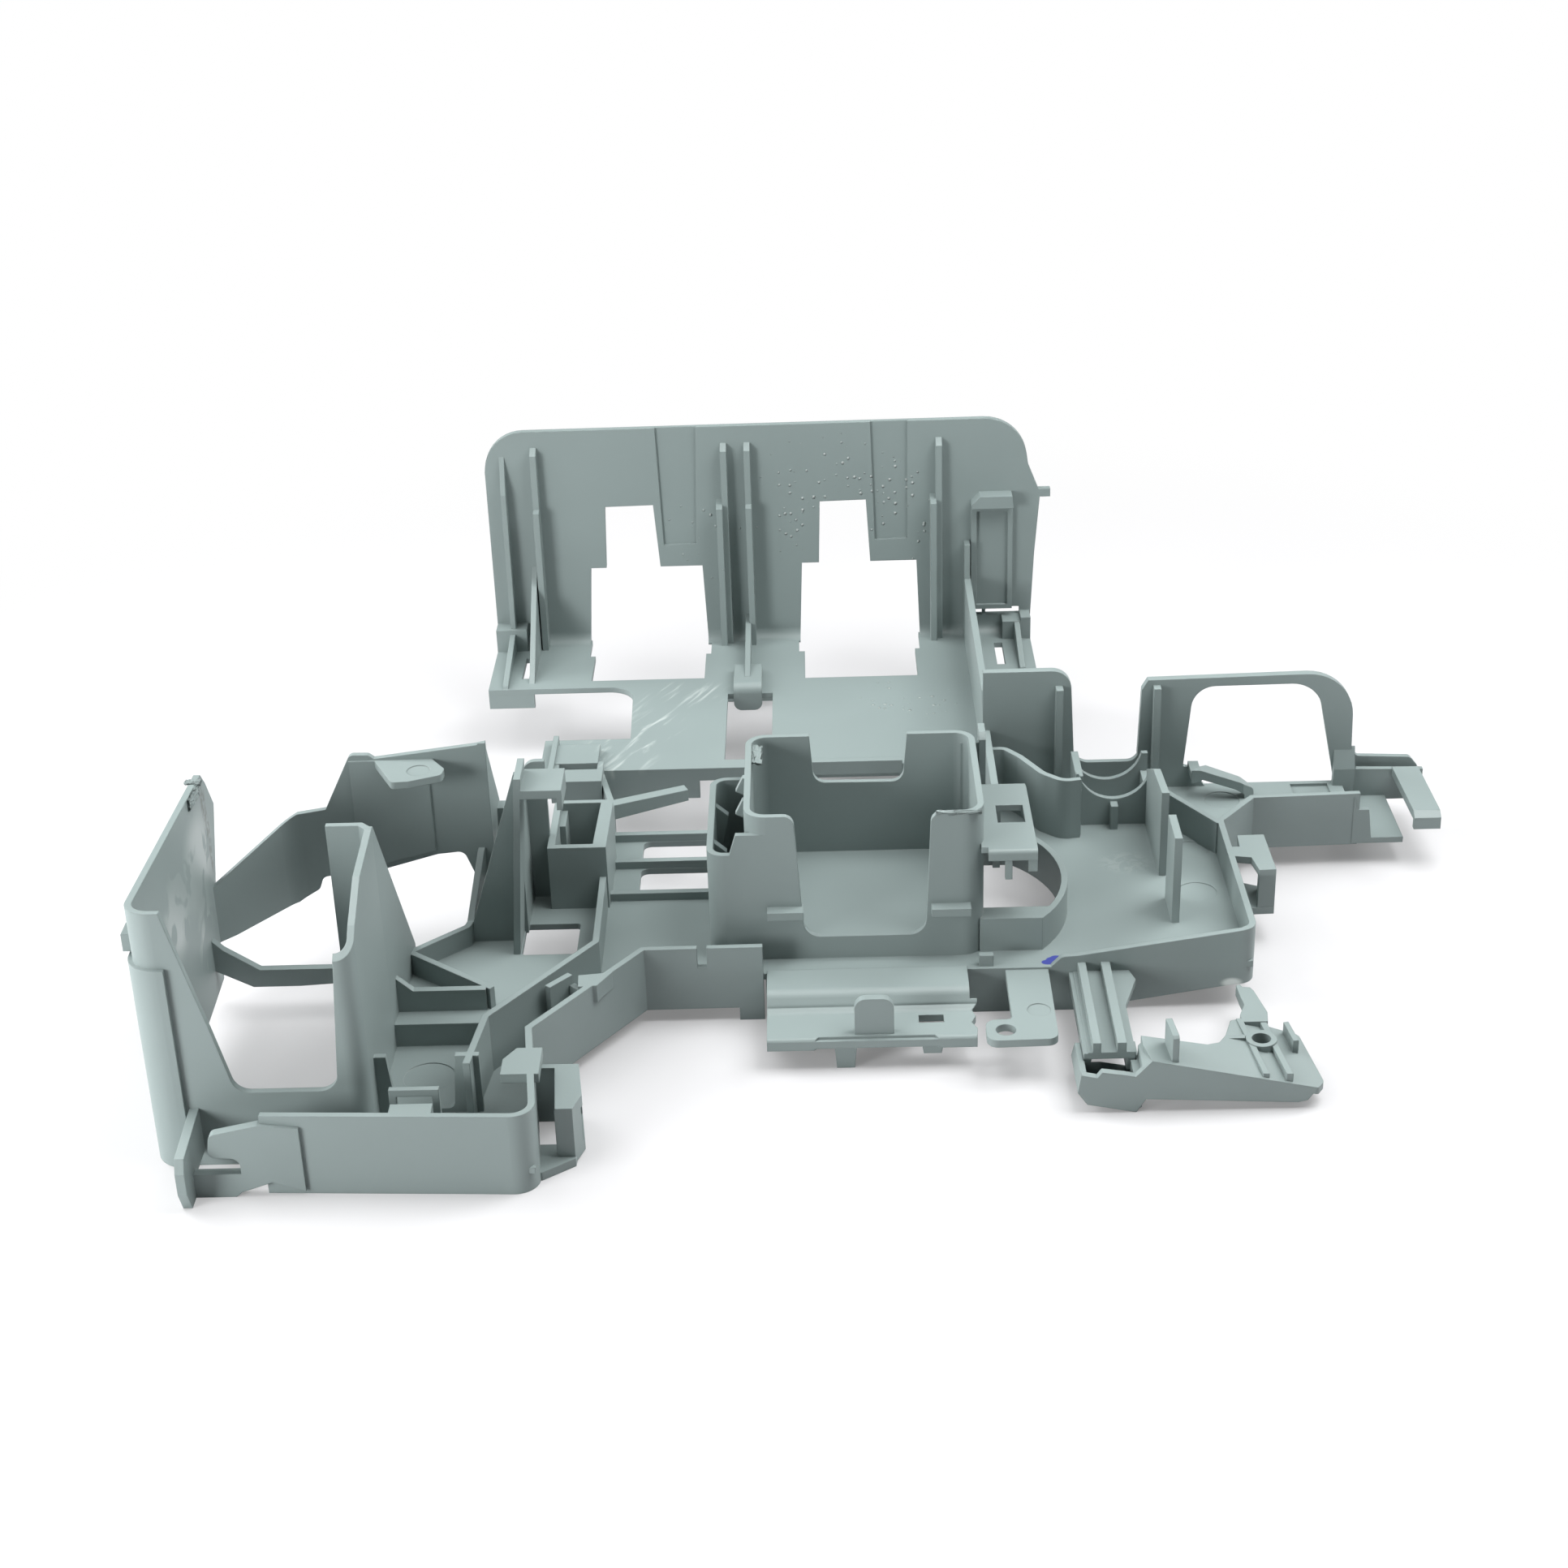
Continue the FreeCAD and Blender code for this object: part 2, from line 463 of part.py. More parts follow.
# Right
def tub_walls():
    """Front, right and rear walls of the tub and the wall on to the bracket arm."""
    skirt = wall([(50, LEDGE_FRONT), (TUB_RIGHT, LEDGE_FRONT, 4), (TUB_RIGHT, TUB_BACK),
                  (106.9, 130.5), (133.5, 131.4)], 0, WALL_TOP)
    front_top = front([(40, FLOOR_TOP), (51, FLOOR_TOP), (53.5, 14.1, 2), (57, 14.3), (95, WALL_TOP),
                       (95, 25), (40, 25)], LEDGE_FRONT - 1, LEDGE_FRONT + WALL + 0.1)
    front_under = front([(57, -1), (57, 0), (93, 5.8), (140, 5.8), (140, -1)], 60, 140)
    rear = wall([(TUB_RIGHT - 0.5, TUB_BACK - 0.5), (86.3, 136)], FLOOR_UNDER, WALL_TOP)
    return join([skirt.cut(front_top).cut(front_under), rear])


def cradles():
    """Two round cradles in line, the wavy wall beside them and the two upright ribs."""
    base = FLOOR_TOP - 0.5
    shapes = []
    for y, top, middle_x in ((134.3, CRADLE_TOP, 72.6), (147, CRADLE_TOP - 1, 72.1)):
        plate = block(63.2, 82.5, y, y + WALL, base, top)
        bite = Part.makeCylinder(CRADLE_R, WALL + 2, FreeCAD.Vector(middle_x, y - 1, top + 1.8),
                                 FreeCAD.Vector(0, 1, 0))
        shapes.append(plate.cut(bite))
    shapes.append(block(71.7, 73.5, 131.5, 134.6, base, 18))
    shapes.append(block(80.7, 82.5, 135, 149, base, 20))
    shapes.append(block(63.2, 65, 135, 149, base, CRADLE_TOP - 1))
    wavy = wall([(63.5, 129.3), (59.5, 128.6, 3), (55.2, 132.6, 6), (50.4, 142, 6), (46.5, 147.2, 3),
                 (40.5, 147.2)], base, 27.6)
    shapes.append(wavy)
    shapes.append(block(62, 64, 129, 135.5, base, 24))
    long_rib = side([(107.3, base), (107.3, 34), (124, 32), (135, 26.5), (135, base)], 80.7, 82.5)
    short_rib = side([(84.6, base), (84.6, 33.9), (96.4, 33.9), (96.4, base)], 80.8, 82.6)
    return join(shapes + [long_rib, short_rib])


def hoop_wall():
    """Rear wall with the tall block, the cable gap and the hoop."""
    outline = [(41.2, FLOOR_UNDER), (41.2, BLOCK_TOP), (63.3, BLOCK_TOP, 5), (64.6, 19.2, 4),
               (81, 19.2, 3), (81.4, 39.3), (82.9, HOOP_TOP - 0.6), (121.7, HOOP_TOP, 3),
               (134.8, HOOP_TOP, 12), (135.5, 20.6), (137, 16), (137, FLOOR_UNDER)]
    body = front(outline, HOOP_Y, HOOP_Y + WALL)
    window = front([(92.6, 17.4), (94.5, 39.8, 6), (125.8, 40, 8), (131.7, FLOOR_TOP),
                    (98.4, FLOOR_TOP), (94.8, 16.8, 1.5)], HOOP_Y - 1, HOOP_Y + 3)
    rim = front([(80.8, 21), (81.4, 39.3), (82.9, HOOP_TOP - 0.6), (121.7, HOOP_TOP, 3),
                 (134.8, HOOP_TOP, 12), (135.5, 20.6), (134, 20.6), (133.2, HOOP_TOP - 1.8, 10.5),
                 (121.7, HOOP_TOP - 1.8), (84.4, HOOP_TOP - 2.4), (83.1, 39.3), (82.5, 21)],
                HOOP_Y, HOOP_Y + RIM_DEPTH)
    post_rib = block(59.5, 61.3, HOOP_Y - 3, HOOP_Y + 0.5, FLOOR_UNDER, 41)
    leg_rib = side([(HOOP_Y + 0.5, 17), (HOOP_Y - 3.5, 17), (HOOP_Y - 2.5, 40.5), (HOOP_Y + 0.5, 40.5)],
                   84.2, 86)
    block_lip = front([(41.2, BLOCK_TOP - 1.8), (41.2, BLOCK_TOP), (63.3, BLOCK_TOP, 5), (64.5, 21.9),
                       (62.7, 21.9), (61.5, BLOCK_TOP - 1.8, 3.2)], HOOP_Y, HOOP_Y + RIM_DEPTH)
    return join([body.cut(window), rim, post_rib, leg_rib, block_lip])


def rear_floor():
    """Floor strip behind the cradles and the bracket wall, with the strap that stands on it."""
    floor = plan([(41.2, 134.5), (86.5, 134.5), (97, 119.5), (106.9, 131), (133.5, 132),
                  (133.5, HOOP_Y + 1), (41.2, HOOP_Y + 1)], FLOOR_UNDER, FLOOR_TOP)
    floor = floor.cut(mark(101.6, 146.2, 4.5, FLOOR_TOP))
    floor = floor.cut(block(120.3, 129.8, 143, HOOP_Y + 2, FLOOR_TOP - 0.8, FLOOR_TOP + 1))
    strap = front([(93, 16.5), (93, 20.2), (96, 20), (106.5, 16.2, 3), (110, 13.4, 2), (110.3, FLOOR_UNDER),
                   (107.6, FLOOR_UNDER), (107.3, 13, 1), (105, 14.4, 2), (96.5, 17.4), (95, 16.5)], 144, 152)
    outline = plan([(93.6, 146), (97.8, 150.4), (111, 149.4), (107, 146)], FLOOR_UNDER, 21)
    anchor = block(93.8, 96.4, 147, HOOP_Y + 0.5, 16.6, 18.6)
    return join([floor, strap.common(outline), anchor])


def bracket_arm():
    """Arm at the far right: lowered floor, notched end, rear walls, box foot and finger."""
    under = ARM_FLOOR_TOP - WALL
    floor = block(132.5, 144.9, 131.2, HOOP_Y + 1, under, ARM_FLOOR_TOP)
    step = front([(132, under), (132, WALL_TOP - 1), (133.2, ARM_TOP), (135.9, ARM_TOP),
                  (136.9, ARM_FLOOR_TOP), (144.9, ARM_FLOOR_TOP), (144.9, under)], 131.2, 131.2 + WALL)
    rear = front([(132, under), (132, ARM_TOP), (154.2, ARM_TOP - 0.6), (154.2, ARM_TOP - 3),
                  (150, 6.5), (144.9, 6.5), (144.9, under)], HOOP_Y, HOOP_Y + WALL)
    second = front([(134, 11), (134, 20), (138, 17.6), (151.3, 17, 1.5), (153.4, 14.4), (153.4, 11)],
                   HOOP_Y + 3, HOOP_Y + 4.5)
    bridge = block(135, 153, HOOP_Y + 1, HOOP_Y + 4, 11, 12.5)
    foot = side([(152.4, under), (152.4, ARM_TOP + 0.6), (HOOP_Y + 0.3, 21.9), (HOOP_Y + 0.3, under)],
                131, 136.4)
    finger = plan([(146.7, 130.4), (153.3, 130.2), (153, HOOP_Y + 0.5), (146.3, HOOP_Y + 0.5)],
                  ARM_TOP - 2.2, ARM_TOP)
    finger_lip = side([(130.3, ARM_TOP), (128.5, 14.2), (128.5, 11.1), (130, 11.1), (130, 13.3),
                       (132, 13.3), (132, ARM_TOP)], 146.7, 153.3)
    return join([floor, step, rear, second, bridge, foot, finger, finger_lip])


def tub_bracket():
    """Bracket outside the right wall of the tub."""
    plate = plan([(TUB_RIGHT - 0.8, 105.5), (99.5, 105.5), (99.8, 111.2), (106.2, 111.3), (106.4, 93.9),
                  (102.4, 93.7), (101.5, 100), (TUB_RIGHT - 0.8, 101)], WALL_TOP - 1.8, WALL_TOP)
    leg = plan([(102.4, 93.8), (106.4, 93.9), (106.4, 95.7), (102.4, 95.6)], 8, WALL_TOP - 0.5)
    foot = plan([(TUB_RIGHT - 0.8, 93.5), (106.4, 93.8), (106.2, 103), (TUB_RIGHT - 0.8, 108)], 8, 9.8)
    web = block(104.6, 106.3, 95, 103, 8.5, WALL_TOP - 0.5)
    return join([plate, leg, foot, web])


# Rear
def deck():
    """Deck behind the box with its front lip, cut-outs and the tall wall on its right."""
    arm_front = PANEL_Y - 31.4
    rear = PANEL_Y + 1
    top = plan([(-72.7, DECK_FRONT), (43, DECK_FRONT), (43, rear), (-79, rear), (-79, arm_front),
                (-51.2, arm_front, 7), (-50.2, DECK_FRONT + 18.5), (-72.7, DECK_FRONT + 18.5)],
               DECK_UNDER, WALL_TOP)
    cuts = [block(-25.1, -12.9, DECK_FRONT + 4.7, PANEL_Y - 37.5, 10, 30)]
    for x0, x1, y0 in ((-63, -31.8, PANEL_Y - 26.8), (-4, 27, PANEL_Y - 28.3)):
        cuts.append(block(x0, x1, y0, PANEL_Y - 10.2, 10, 30))
        cuts.append(block(x0 - 1.6, x1 + 1.4, PANEL_Y - 10.3, PANEL_Y + 5, 10, 30))
    lip = block(-57, -31.6, DECK_FRONT, DECK_FRONT + WALL, FLOOR_TOP, WALL_TOP)
    bar = block(-57, 43, DECK_FRONT, DECK_FRONT + WALL, 16.5, WALL_TOP)
    bead = block(-2.6, 20.6, DECK_FRONT - 1.5, DECK_FRONT + 0.5, WALL_TOP - 2, WALL_TOP + 1.7)
    return join([top.cut(cuts[0].multiFuse(cuts[1:])), lip, bar, bead])


def tall_wall():
    """Wall along the right of the deck, stepped down towards the box clip."""
    return side([(116, FLOOR_UNDER), (116, 29), (154, 29), (159, 38), (205, 38), (PANEL_Y + 1, 38),
                 (PANEL_Y + 1, 16), (HOOP_Y, FLOOR_UNDER)], 41.2, 43)


def deck_brackets():
    """Stepped bracket on the left of the deck."""
    front_y, step_y = DECK_FRONT - 9.7, DECK_FRONT + 0.6
    rib = side([(DECK_FRONT - 3.7, 17), (DECK_FRONT - 3.7, 22.6), (DECK_FRONT + 16, 22.6),
                (DECK_FRONT + 16, 17)], -70.1, -68.7)
    upper = block(-69, -57.6, step_y, DECK_FRONT + 11.8, WALL_TOP - 0.5, 22)
    lower = block(-69, -56, front_y, front_y + 6.9, 20.4, 22)
    face_plate = block(-69, -56, front_y, front_y + WALL, 16, 22)
    cheeks = [block(x, x + WALL, front_y, DECK_FRONT + 2, 17, 21.8) for x in (-69, -57.6)]
    return join([rib, upper, lower, face_plate] + cheeks)


def snap_clip():
    """Hooked plate that bends down through the deck's front window, with its spine."""
    tip = PANEL_Y - 38.6
    nose = side([(tip + 16, WALL_TOP - 0.5), (tip + 14.8, 22.7, 1), (tip, 22.9, 2.5), (tip, 15.5),
                 (tip + 1.6, 15.5), (tip + 1.6, WALL_TOP - 0.5)], -23.5, -15.8)
    rounded = front([(-23.5, 30), (-23.5, 15.5, 2.2), (-15.8, 15.5, 2.2), (-15.8, 30)], tip - 1, tip + 20)
    spine = side([(tip + 6, 21), (tip + 6, 22.9), (PANEL_Y + 0.5, 27.6), (PANEL_Y + 0.5, WALL_TOP - 0.5),
                  (tip + 10, WALL_TOP - 0.5)], -20.5, -19)
    return join([nose.common(rounded), spine])


def back_panel():
    """Upright rear panel with stepped windows, recesses and a rounded foot on the deck."""
    x0, x1 = PANEL_SIDE_X, 59.8
    y0, y1 = PANEL_Y, PANEL_Y + PANEL_THICK
    sheet = front([(x0, DECK_UNDER), (x1, DECK_UNDER), (x1 + 1.2, 44), (62.4, 61.5), (59, 70),
                   (57, PANEL_TOP, 12), (x0 + 1.5, PANEL_TOP - 0.5, 11), (x0, 72)], y0, y1)
    legs = [block(a, b, y0, y1, 0, DECK_UNDER + 0.5) for a, b in ((-27, -8), (32, 41))]
    peg = block(61.5, 65.2, y0, y1, 60.5, 62.8)
    foot = block(x0, x1, y0 - PANEL_FOOT_R, y0 + 0.5, WALL_TOP - 0.5, WALL_TOP + PANEL_FOOT_R)
    foot = foot.cut(Part.makeCylinder(PANEL_FOOT_R, x1 - x0 + 4, FreeCAD.Vector(x0 - 2, y0 - PANEL_FOOT_R,
                                      WALL_TOP + PANEL_FOOT_R), FreeCAD.Vector(1, 0, 0)))
    windows = []
    for a, b, c, d, e, f in ((-65.6, -31, -63.6, -59.2, -45.2, -44), (-5.6, 29.2, -4.2, 0.6, 14, 15)):
        windows.append(front([(a, 10), (c, WINDOW_STEP), (d, WINDOW_STEP), (d + 0.6, WINDOW_TOP),
                              (e, WINDOW_TOP + 0.2), (f, WINDOW_STEP), (b - 1.2, WINDOW_STEP), (b, 10)],
                             y0 - PANEL_FOOT_R - 0.5, y1 + 1))
    grooves = [front([(-43.7, PANEL_TOP + 1), (-32.3, PANEL_TOP + 1), (-33.6, 49.2), (-42.7, 49)],
                     y0 - 1, y0 + 0.6),
               front([(15.5, PANEL_TOP + 1), (25.7, PANEL_TOP + 1), (25.5, 49.2), (16.4, 49)],
                     y0 - 1, y0 + 0.6)]
    return join([sheet, peg, foot] + legs).cut(windows[0].multiFuse(windows[1:] + grooves))


def panel_ribs():
    """Stepped ribs on the front of the panel."""
    y = PANEL_Y + 0.5
    ribs = [side([(y, 78), (y - 3.5, 66), (y - 5, 24), (y, 24)], -87, -85.6)]
    for x, step in ((-78.3, 1.6), (-25.9, -1.6), (-19.4, 1.6), (33.4, -1.6)):
        ribs.append(side([(y, 79), (y - 3, 77), (y - 4.2, 20), (y, 18.5)], x, x + 1.7))
        low = min(x, x + step)
        ribs.append(side([(y, 62.5), (y - 5.2, 61), (y - 5.8, 20), (y, 18.5)], low, low + 1.7))
    return join(ribs)


def framed_panel():
    """Raised frame on the right of the panel and the cutter for the slot under it."""
    y = PANEL_Y + 0.5
    plate = block(43.2, 54.8, PANEL_Y - 1.4, y, 27.5, 60.2)
    plate = plate.cut(block(44.8, 53.4, PANEL_Y - 2, PANEL_Y - 0.6, 29, 57))
    ledge = front([(43.2, 58.9), (43.2, 60.1), (45.5, 62.5), (54.4, 62.5), (54.8, 58.9)], PANEL_Y - 4.5, y)
    rib = block(41.2, 42.8, PANEL_Y - 4, y, 35, 48.2)
    slot = front([(44.2, 25.4), (44.2, 27.7), (57, 27.7), (57, 25.4)], PANEL_Y - 6, PANEL_Y + 6)
    slot = slot.cut(block(46.5, 47.4, PANEL_Y - 7, PANEL_Y + 7, 25, 28))
    return join([plate, ledge, rib]), slot


def side_sheet(x0, x1, front_y, slot_box, stem_x, cross_x):
    """Sheet beside the deck with a slot, a stem rib and a flanged cross plate from cross_x to x1."""
    rear = PANEL_Y + 1
    plate_y = PANEL_Y - 5.5
    sheet = block(x0, x1, front_y, rear, DECK_UNDER, WALL_TOP)
    cross = block(cross_x, x1, plate_y, plate_y + WALL, DECK_UNDER + 0.5, 26)
    flange = block(cross_x, x1, plate_y, PANEL_Y + 0.5, 25, 26.5)
    stem = side([(front_y, DECK_UNDER + 0.5), (front_y + 1, WALL_TOP + 0.8), (plate_y + 1, 25.4),
                 (plate_y + 1, DECK_UNDER + 0.5)], stem_x, stem_x + WALL)
    slot = block(slot_box[0], slot_box[1], slot_box[2], slot_box[3], DECK_UNDER - 1, WALL_TOP + 0.4)
    return join([sheet.cut(slot), cross, flange, stem])


def side_arms():
    """Left arm with its turned-down lip and edge rib, and the sheet on the right of the deck."""
    left_front = PANEL_Y - 31.4
    left = side_sheet(-91.1, -82.4, left_front, (-82.5, -80.6, 212.6, 226.3), -87.2, -91.1)
    strip_floor = block(-82.5, -78.6, left_front, PANEL_Y + 1, DECK_UNDER, WALL_TOP)
    strip_floor = strip_floor.cut(plan([(-82.5, PANEL_Y - 24.2), (-80.6, PANEL_Y - 24.2),
                                        (-80.6, PANEL_Y - 10.5), (-82.4, PANEL_Y - 10.5)], 10, 30))
    lip = side([(left_front + 2, WALL_TOP), (left_front, WALL_TOP, 1.8), (left_front, 14.4),
                (left_front + WALL, 14.4), (left_front + WALL, DECK_UNDER), (left_front + 2, DECK_UNDER)],
               -91.1, -78.6)
    edge_rib = side([(PANEL_Y + 0.5, 44), (PANEL_Y - 4, 40), (PANEL_Y - 24.8, 22),
                     (PANEL_Y - 29.8, DECK_UNDER), (PANEL_Y + 0.5, DECK_UNDER)], -80.2, -78.7)
    right = side_sheet(42.5, 59.8, PANEL_Y - 27.4, (49.3, 51.6, 214.3, 229), 55.2, 51.9)
    return join([left, strip_floor, lip, edge_rib]), right


# Front
def platform():
    """Rolled platform in front of the ledge with its tongue and prongs."""
    profile = [(LEDGE_FRONT + 1, FLOOR_TOP + 0.3), (57.5, FLOOR_TOP + 0.3, 3), (54.5, SHELF_Z, 2.5),
               (43.2, SHELF_Z, 1), (43.2, 5.2), (45, 5.2), (45, SHELF_Z - 1.8), (53.2, SHELF_Z - 1.8, 3),
               (56, FLOOR_TOP - 1.6, 3), (LEDGE_FRONT + 1, FLOOR_TOP - 1.6)]
    body = side(profile, -13.7, 33.5)
    slot = block(20.2, 25.8, 49.3, 52.4, 4, 10)
    step = plan([(31.9, 56), (34, 56), (34, 70), (31.9, 70)], 4, 14)
    ragged = plan([(32.6, 40), (34, 40), (34, 56), (32.2, 54), (33, 51.6), (31.9, 49), (33.1, 46.5)], 4, 14)
    recess = plan([(-4.3, 42), (-2.3, 44.2), (23.5, 44.2), (25.5, 42)], 4, 14)
    tongue = front([(5.8, 6.5), (5.8, 17, 2.6), (14.5, 17, 2.6), (14.5, 6.5)], 45, 47)
    prong = front([(1.2, 6.5), (1.7, 0), (5.7, 0), (6.3, 6.5)], 44, 46)
    back_prong = front([(20.5, 6.5), (21, 3.3), (25, 3.3), (25.6, 6.5)], 44, 46)
    sill = block(-13.7, 31.9, 43.2, 46.5, 5.6, 7.4)
    end_rib = side([(46, 6.5), (54, 6.5), (57, 11), (66.5, 11), (66.5, 4), (52, 4)], -13.7, -12.2)
    body = body.cut(slot).cut(step).cut(ragged).cut(recess)
    return join([body, sill, tongue, prong, back_prong, end_rib])


def screw_plate():
    """Flat lug with the screw hole."""
    plate = plan([(40.6, LEDGE_FRONT + 1), (40.6, 45.2, 1), (34.6, 44.9, 2.4), (34.6, 36.4, 2.4),
                  (50.2, 36.8, 2.4), (50.4, LEDGE_FRONT + 1)], SCREW_PLATE_TOP - 1.8, SCREW_PLATE_TOP)
    hole = disc(38.9, 40.8, SCREW_HOLE_R, 5, 15)
    return plate.cut(hole).cut(mark(46.8, 48.8, 2.6, SCREW_PLATE_TOP))


def rail():
    """Inverted channel that reaches towards the lever, with its side gusset."""
    y0, y1 = RAIL_FRONT, LEDGE_FRONT + 0.8
    plate = block(56, 66.2, y0, y1, 8.6, 10.2)
    ribs = [block(57, 58.8, y0, y1, 8.8, 12.6), block(62.3, 64.3, y0, y1, 8.8, 12.6)]
    lip = side([(y0 + 1, 7.2), (y0, 8.8), (y0, 10), (y1, 10), (y1, 7.2)], 55.1, 56.8)
    right = side([(y0 + 2, 4.4), (y0, 9), (y0, 10.2), (y1, 10.2), (y1, 3.7)], 64.6, 66.3)
    gusset = plan([(66, 50), (66, y1), (68.5, y1), (69.8, 62)], 8.6, 10.2)
    return join([plate, lip, right, gusset] + ribs)


def housing():
    """The whole moulded body."""
    frame, slot = framed_panel()
    left_arm, right_sheet = side_arms()
    parts = [left_frame(), hook_and_fin(), channel_outer_wall(), channel_inner_wall(), low_compartment(),
             upper_floor(), post_gusset(), back_left_wall(), low_diagonal_wall(), column(), pocket_box(),
             corner_bracket(), floor_grid(), central_box(), side_pocket(), box_clip(),
             collar(main_floor()), tub_walls(), cradles(), hoop_wall(), rear_floor(), bracket_arm(),
             tub_bracket(), deck(), tall_wall(), deck_brackets(), snap_clip(), back_panel(), panel_ribs(),
             frame, left_arm, right_sheet, platform(), screw_plate(), rail()]
    return join(parts).cut(slot).removeSplitter()


def latch_lever():
    """Lever lying in front of the rail: end box, sloping arm, boss and broken runner."""
    y0 = LEVER_Y
    web = front([(65.8, 0), (55.2, 2.2), (53.1, 5.2), (53.8, 9.7), (57.2, 8.9), (58.2, 10.3),
                 (63.2, 9.5), (65.4, 9), (68.8, 12.9), (104.6, 5.2), (102.5, 2.1), (100.5, 1.6),
                 (67.8, 3.3)], y0, y0 + 1.7)
    end_box = front([(65.8, 0.2), (55.2, 2.4), (53.1, 5.2), (53.8, 8.4), (67, 8.4), (67, 1)], y0 + 0.5,
                    y0 + 15)
    end_room = front([(65.2, 2.2), (56, 4), (55, 5.6), (55.4, 12), (65.2, 12)], y0 + 1.7, y0 + 16)
    slope = (5.2 - 12.9) / (104.6 - 68.8)
    arm_plan = [(68.8, y0), (104.6, y0, 1), (106.3, 26.9, 2), (103.9, 44.8, 1.5), (97.6, 46.2), (91.3, 47.7),
                (88.9, 46.2, 1), (86.8, 39.5, 1.5), (85, 36.2, 2), (82.1, 34.5), (67.5, 33.8), (67.5, 30)]
    arm = plan(arm_plan, 0, 20)
    layer = front([(65, 12.9 - slope * 3.8 - 1.7), (65, 12.9 - slope * 3.8), (108, 12.9 + slope * 39.2),
                   (108, 12.9 + slope * 39.2 - 1.7)], y0 - 1, 60)
    arm = arm.common(layer)
    riser = front([(66.9, 4), (66.9, 10.8), (68.8, 12.9), (71.5, 12.3), (71.5, 3)], y0 + 0.5, 33.6)
    boss = disc(LEVER_BOSS_X, LEVER_BOSS_Y, LEVER_BOSS_R, 2, 8.8)
    ribs = [plan([(90.3, 47), (92.8, y0 + 0.8), (94.1, y0 + 0.8), (91.6, 47)], 5.2, 8.6),
            plan([(95.3, 46.2), (97.8, y0 + 0.8), (99.2, y0 + 0.8), (96.7, 46.2)], 5.2, 8.4),
            block(87.2, 91, 38.5, 39.9, 6.5, 8.9),
            plan([(100.3, 44.4), (101.2, 36.8), (102.4, 36.9), (101.4, 44.6)], 4.4, 9)]
    fin = upright((74.6, 25.2), (73.9, 32.6), [(0, 10), (0, 17.6), (0.6, 18.2), (7.4, 18.2), (7.4, 10)], 1.4)
    runner = plan([(91.4, 45.5), (91.4, 48.5), (93, 52.7), (92.6, 56.6), (92.4, 61), (93.3, 61.3),
                   (93.7, 60.2), (95.4, 59.9), (96, 58.5), (97.6, 49.3), (97.1, 45.5)], 6, 8.6)
    hole = disc(LEVER_BOSS_X, LEVER_BOSS_Y, LEVER_HOLE_R, 0, 20)
    rail_room = block(55, 66.6, RAIL_FRONT - 0.3, y0 + 22, 3.3, 20)
    shapes = [web, end_box.cut(end_room), arm, riser, boss, fin, runner] + ribs
    return join(shapes).cut(hole).cut(rail_room).removeSplitter()


def main():
    """Build both pieces, move them so the origin is the bottom centre of the whole and write them."""
    pieces = {"housing": housing(), "latch_lever": latch_lever()}
    box = FreeCAD.BoundBox()
    for shape in pieces.values():
        box.add(shape.BoundBox)
    shift = FreeCAD.Vector(-box.Center.x, -box.Center.y, -box.ZMin)
    os.makedirs("parts", exist_ok=True)
    for name, shape in pieces.items():
        shape.translate(shift)
        shape.exportStep("parts/" + name + ".step")
        print(name, "solids", len(shape.Solids), "valid", shape.isValid(), "volume", round(shape.Volume))
    print("shift", shift, "size", box.XLength, box.YLength, box.ZLength)


main()
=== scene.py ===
"""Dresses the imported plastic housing: moulded finish, surface marks, flash and the photo stage."""
import math

import bpy
from mathutils import Matrix, Vector


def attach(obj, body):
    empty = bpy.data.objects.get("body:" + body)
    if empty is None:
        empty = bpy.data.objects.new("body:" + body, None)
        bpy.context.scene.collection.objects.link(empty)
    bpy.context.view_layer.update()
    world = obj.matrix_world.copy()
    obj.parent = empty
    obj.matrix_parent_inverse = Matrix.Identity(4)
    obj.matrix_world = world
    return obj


bl_info = {
    "name": "Moulded Housing",
    "version": (1, 0, 0),
    "blender": (4, 5, 0),
    "location": "3D View > Sidebar > Housing",
    "description": "Finish, surface marks and stage for the injection moulded plastic housing",
    "category": "Object",
}

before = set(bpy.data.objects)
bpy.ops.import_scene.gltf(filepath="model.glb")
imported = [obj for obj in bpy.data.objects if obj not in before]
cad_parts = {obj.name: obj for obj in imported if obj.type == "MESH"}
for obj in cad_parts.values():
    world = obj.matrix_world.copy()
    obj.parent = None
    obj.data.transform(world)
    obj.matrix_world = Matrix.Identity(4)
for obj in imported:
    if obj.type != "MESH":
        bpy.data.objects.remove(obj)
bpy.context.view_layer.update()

# Lamps: name, place, side length and power
LAMPS = (
    ("overhead", (0.0, 0.05, 1.3), 1.0, 9.0),
    ("top_left", (-0.3, 0.0, 0.4), 0.3, 1.2),
    ("top_right", (0.22, -0.05, 0.4), 0.3, 2.2),
    ("left", (-1.4, 0.3, 0.4), 0.8, 11.0),
    ("left_high", (-1.0, 0.6, 0.75), 0.6, 10.0),
    ("right_high", (1.0, 0.6, 0.75), 0.6, 10.0),
    ("near_left", (-0.45, -0.38, 0.15), 0.2, 2.8),
)

# Floor, surround and camera: the floor runs out to white between the two distances
FLOOR_SIDE = 8.0
FLOOR_ROUGHNESS = 0.7
FLOOR_FADE = (0.13, 0.36)
FLOOR_WHITE_NEAR = 0.2
SURROUND_COLOUR = (0.95, 0.98, 1.0, 1.0)
SURROUND_STRENGTH = 0.02
WHITE = (1.0, 1.0, 1.0, 1.0)
SENSOR_WIDTH = 36.0
CLIP_START = 0.01
CLIP_END = 20.0

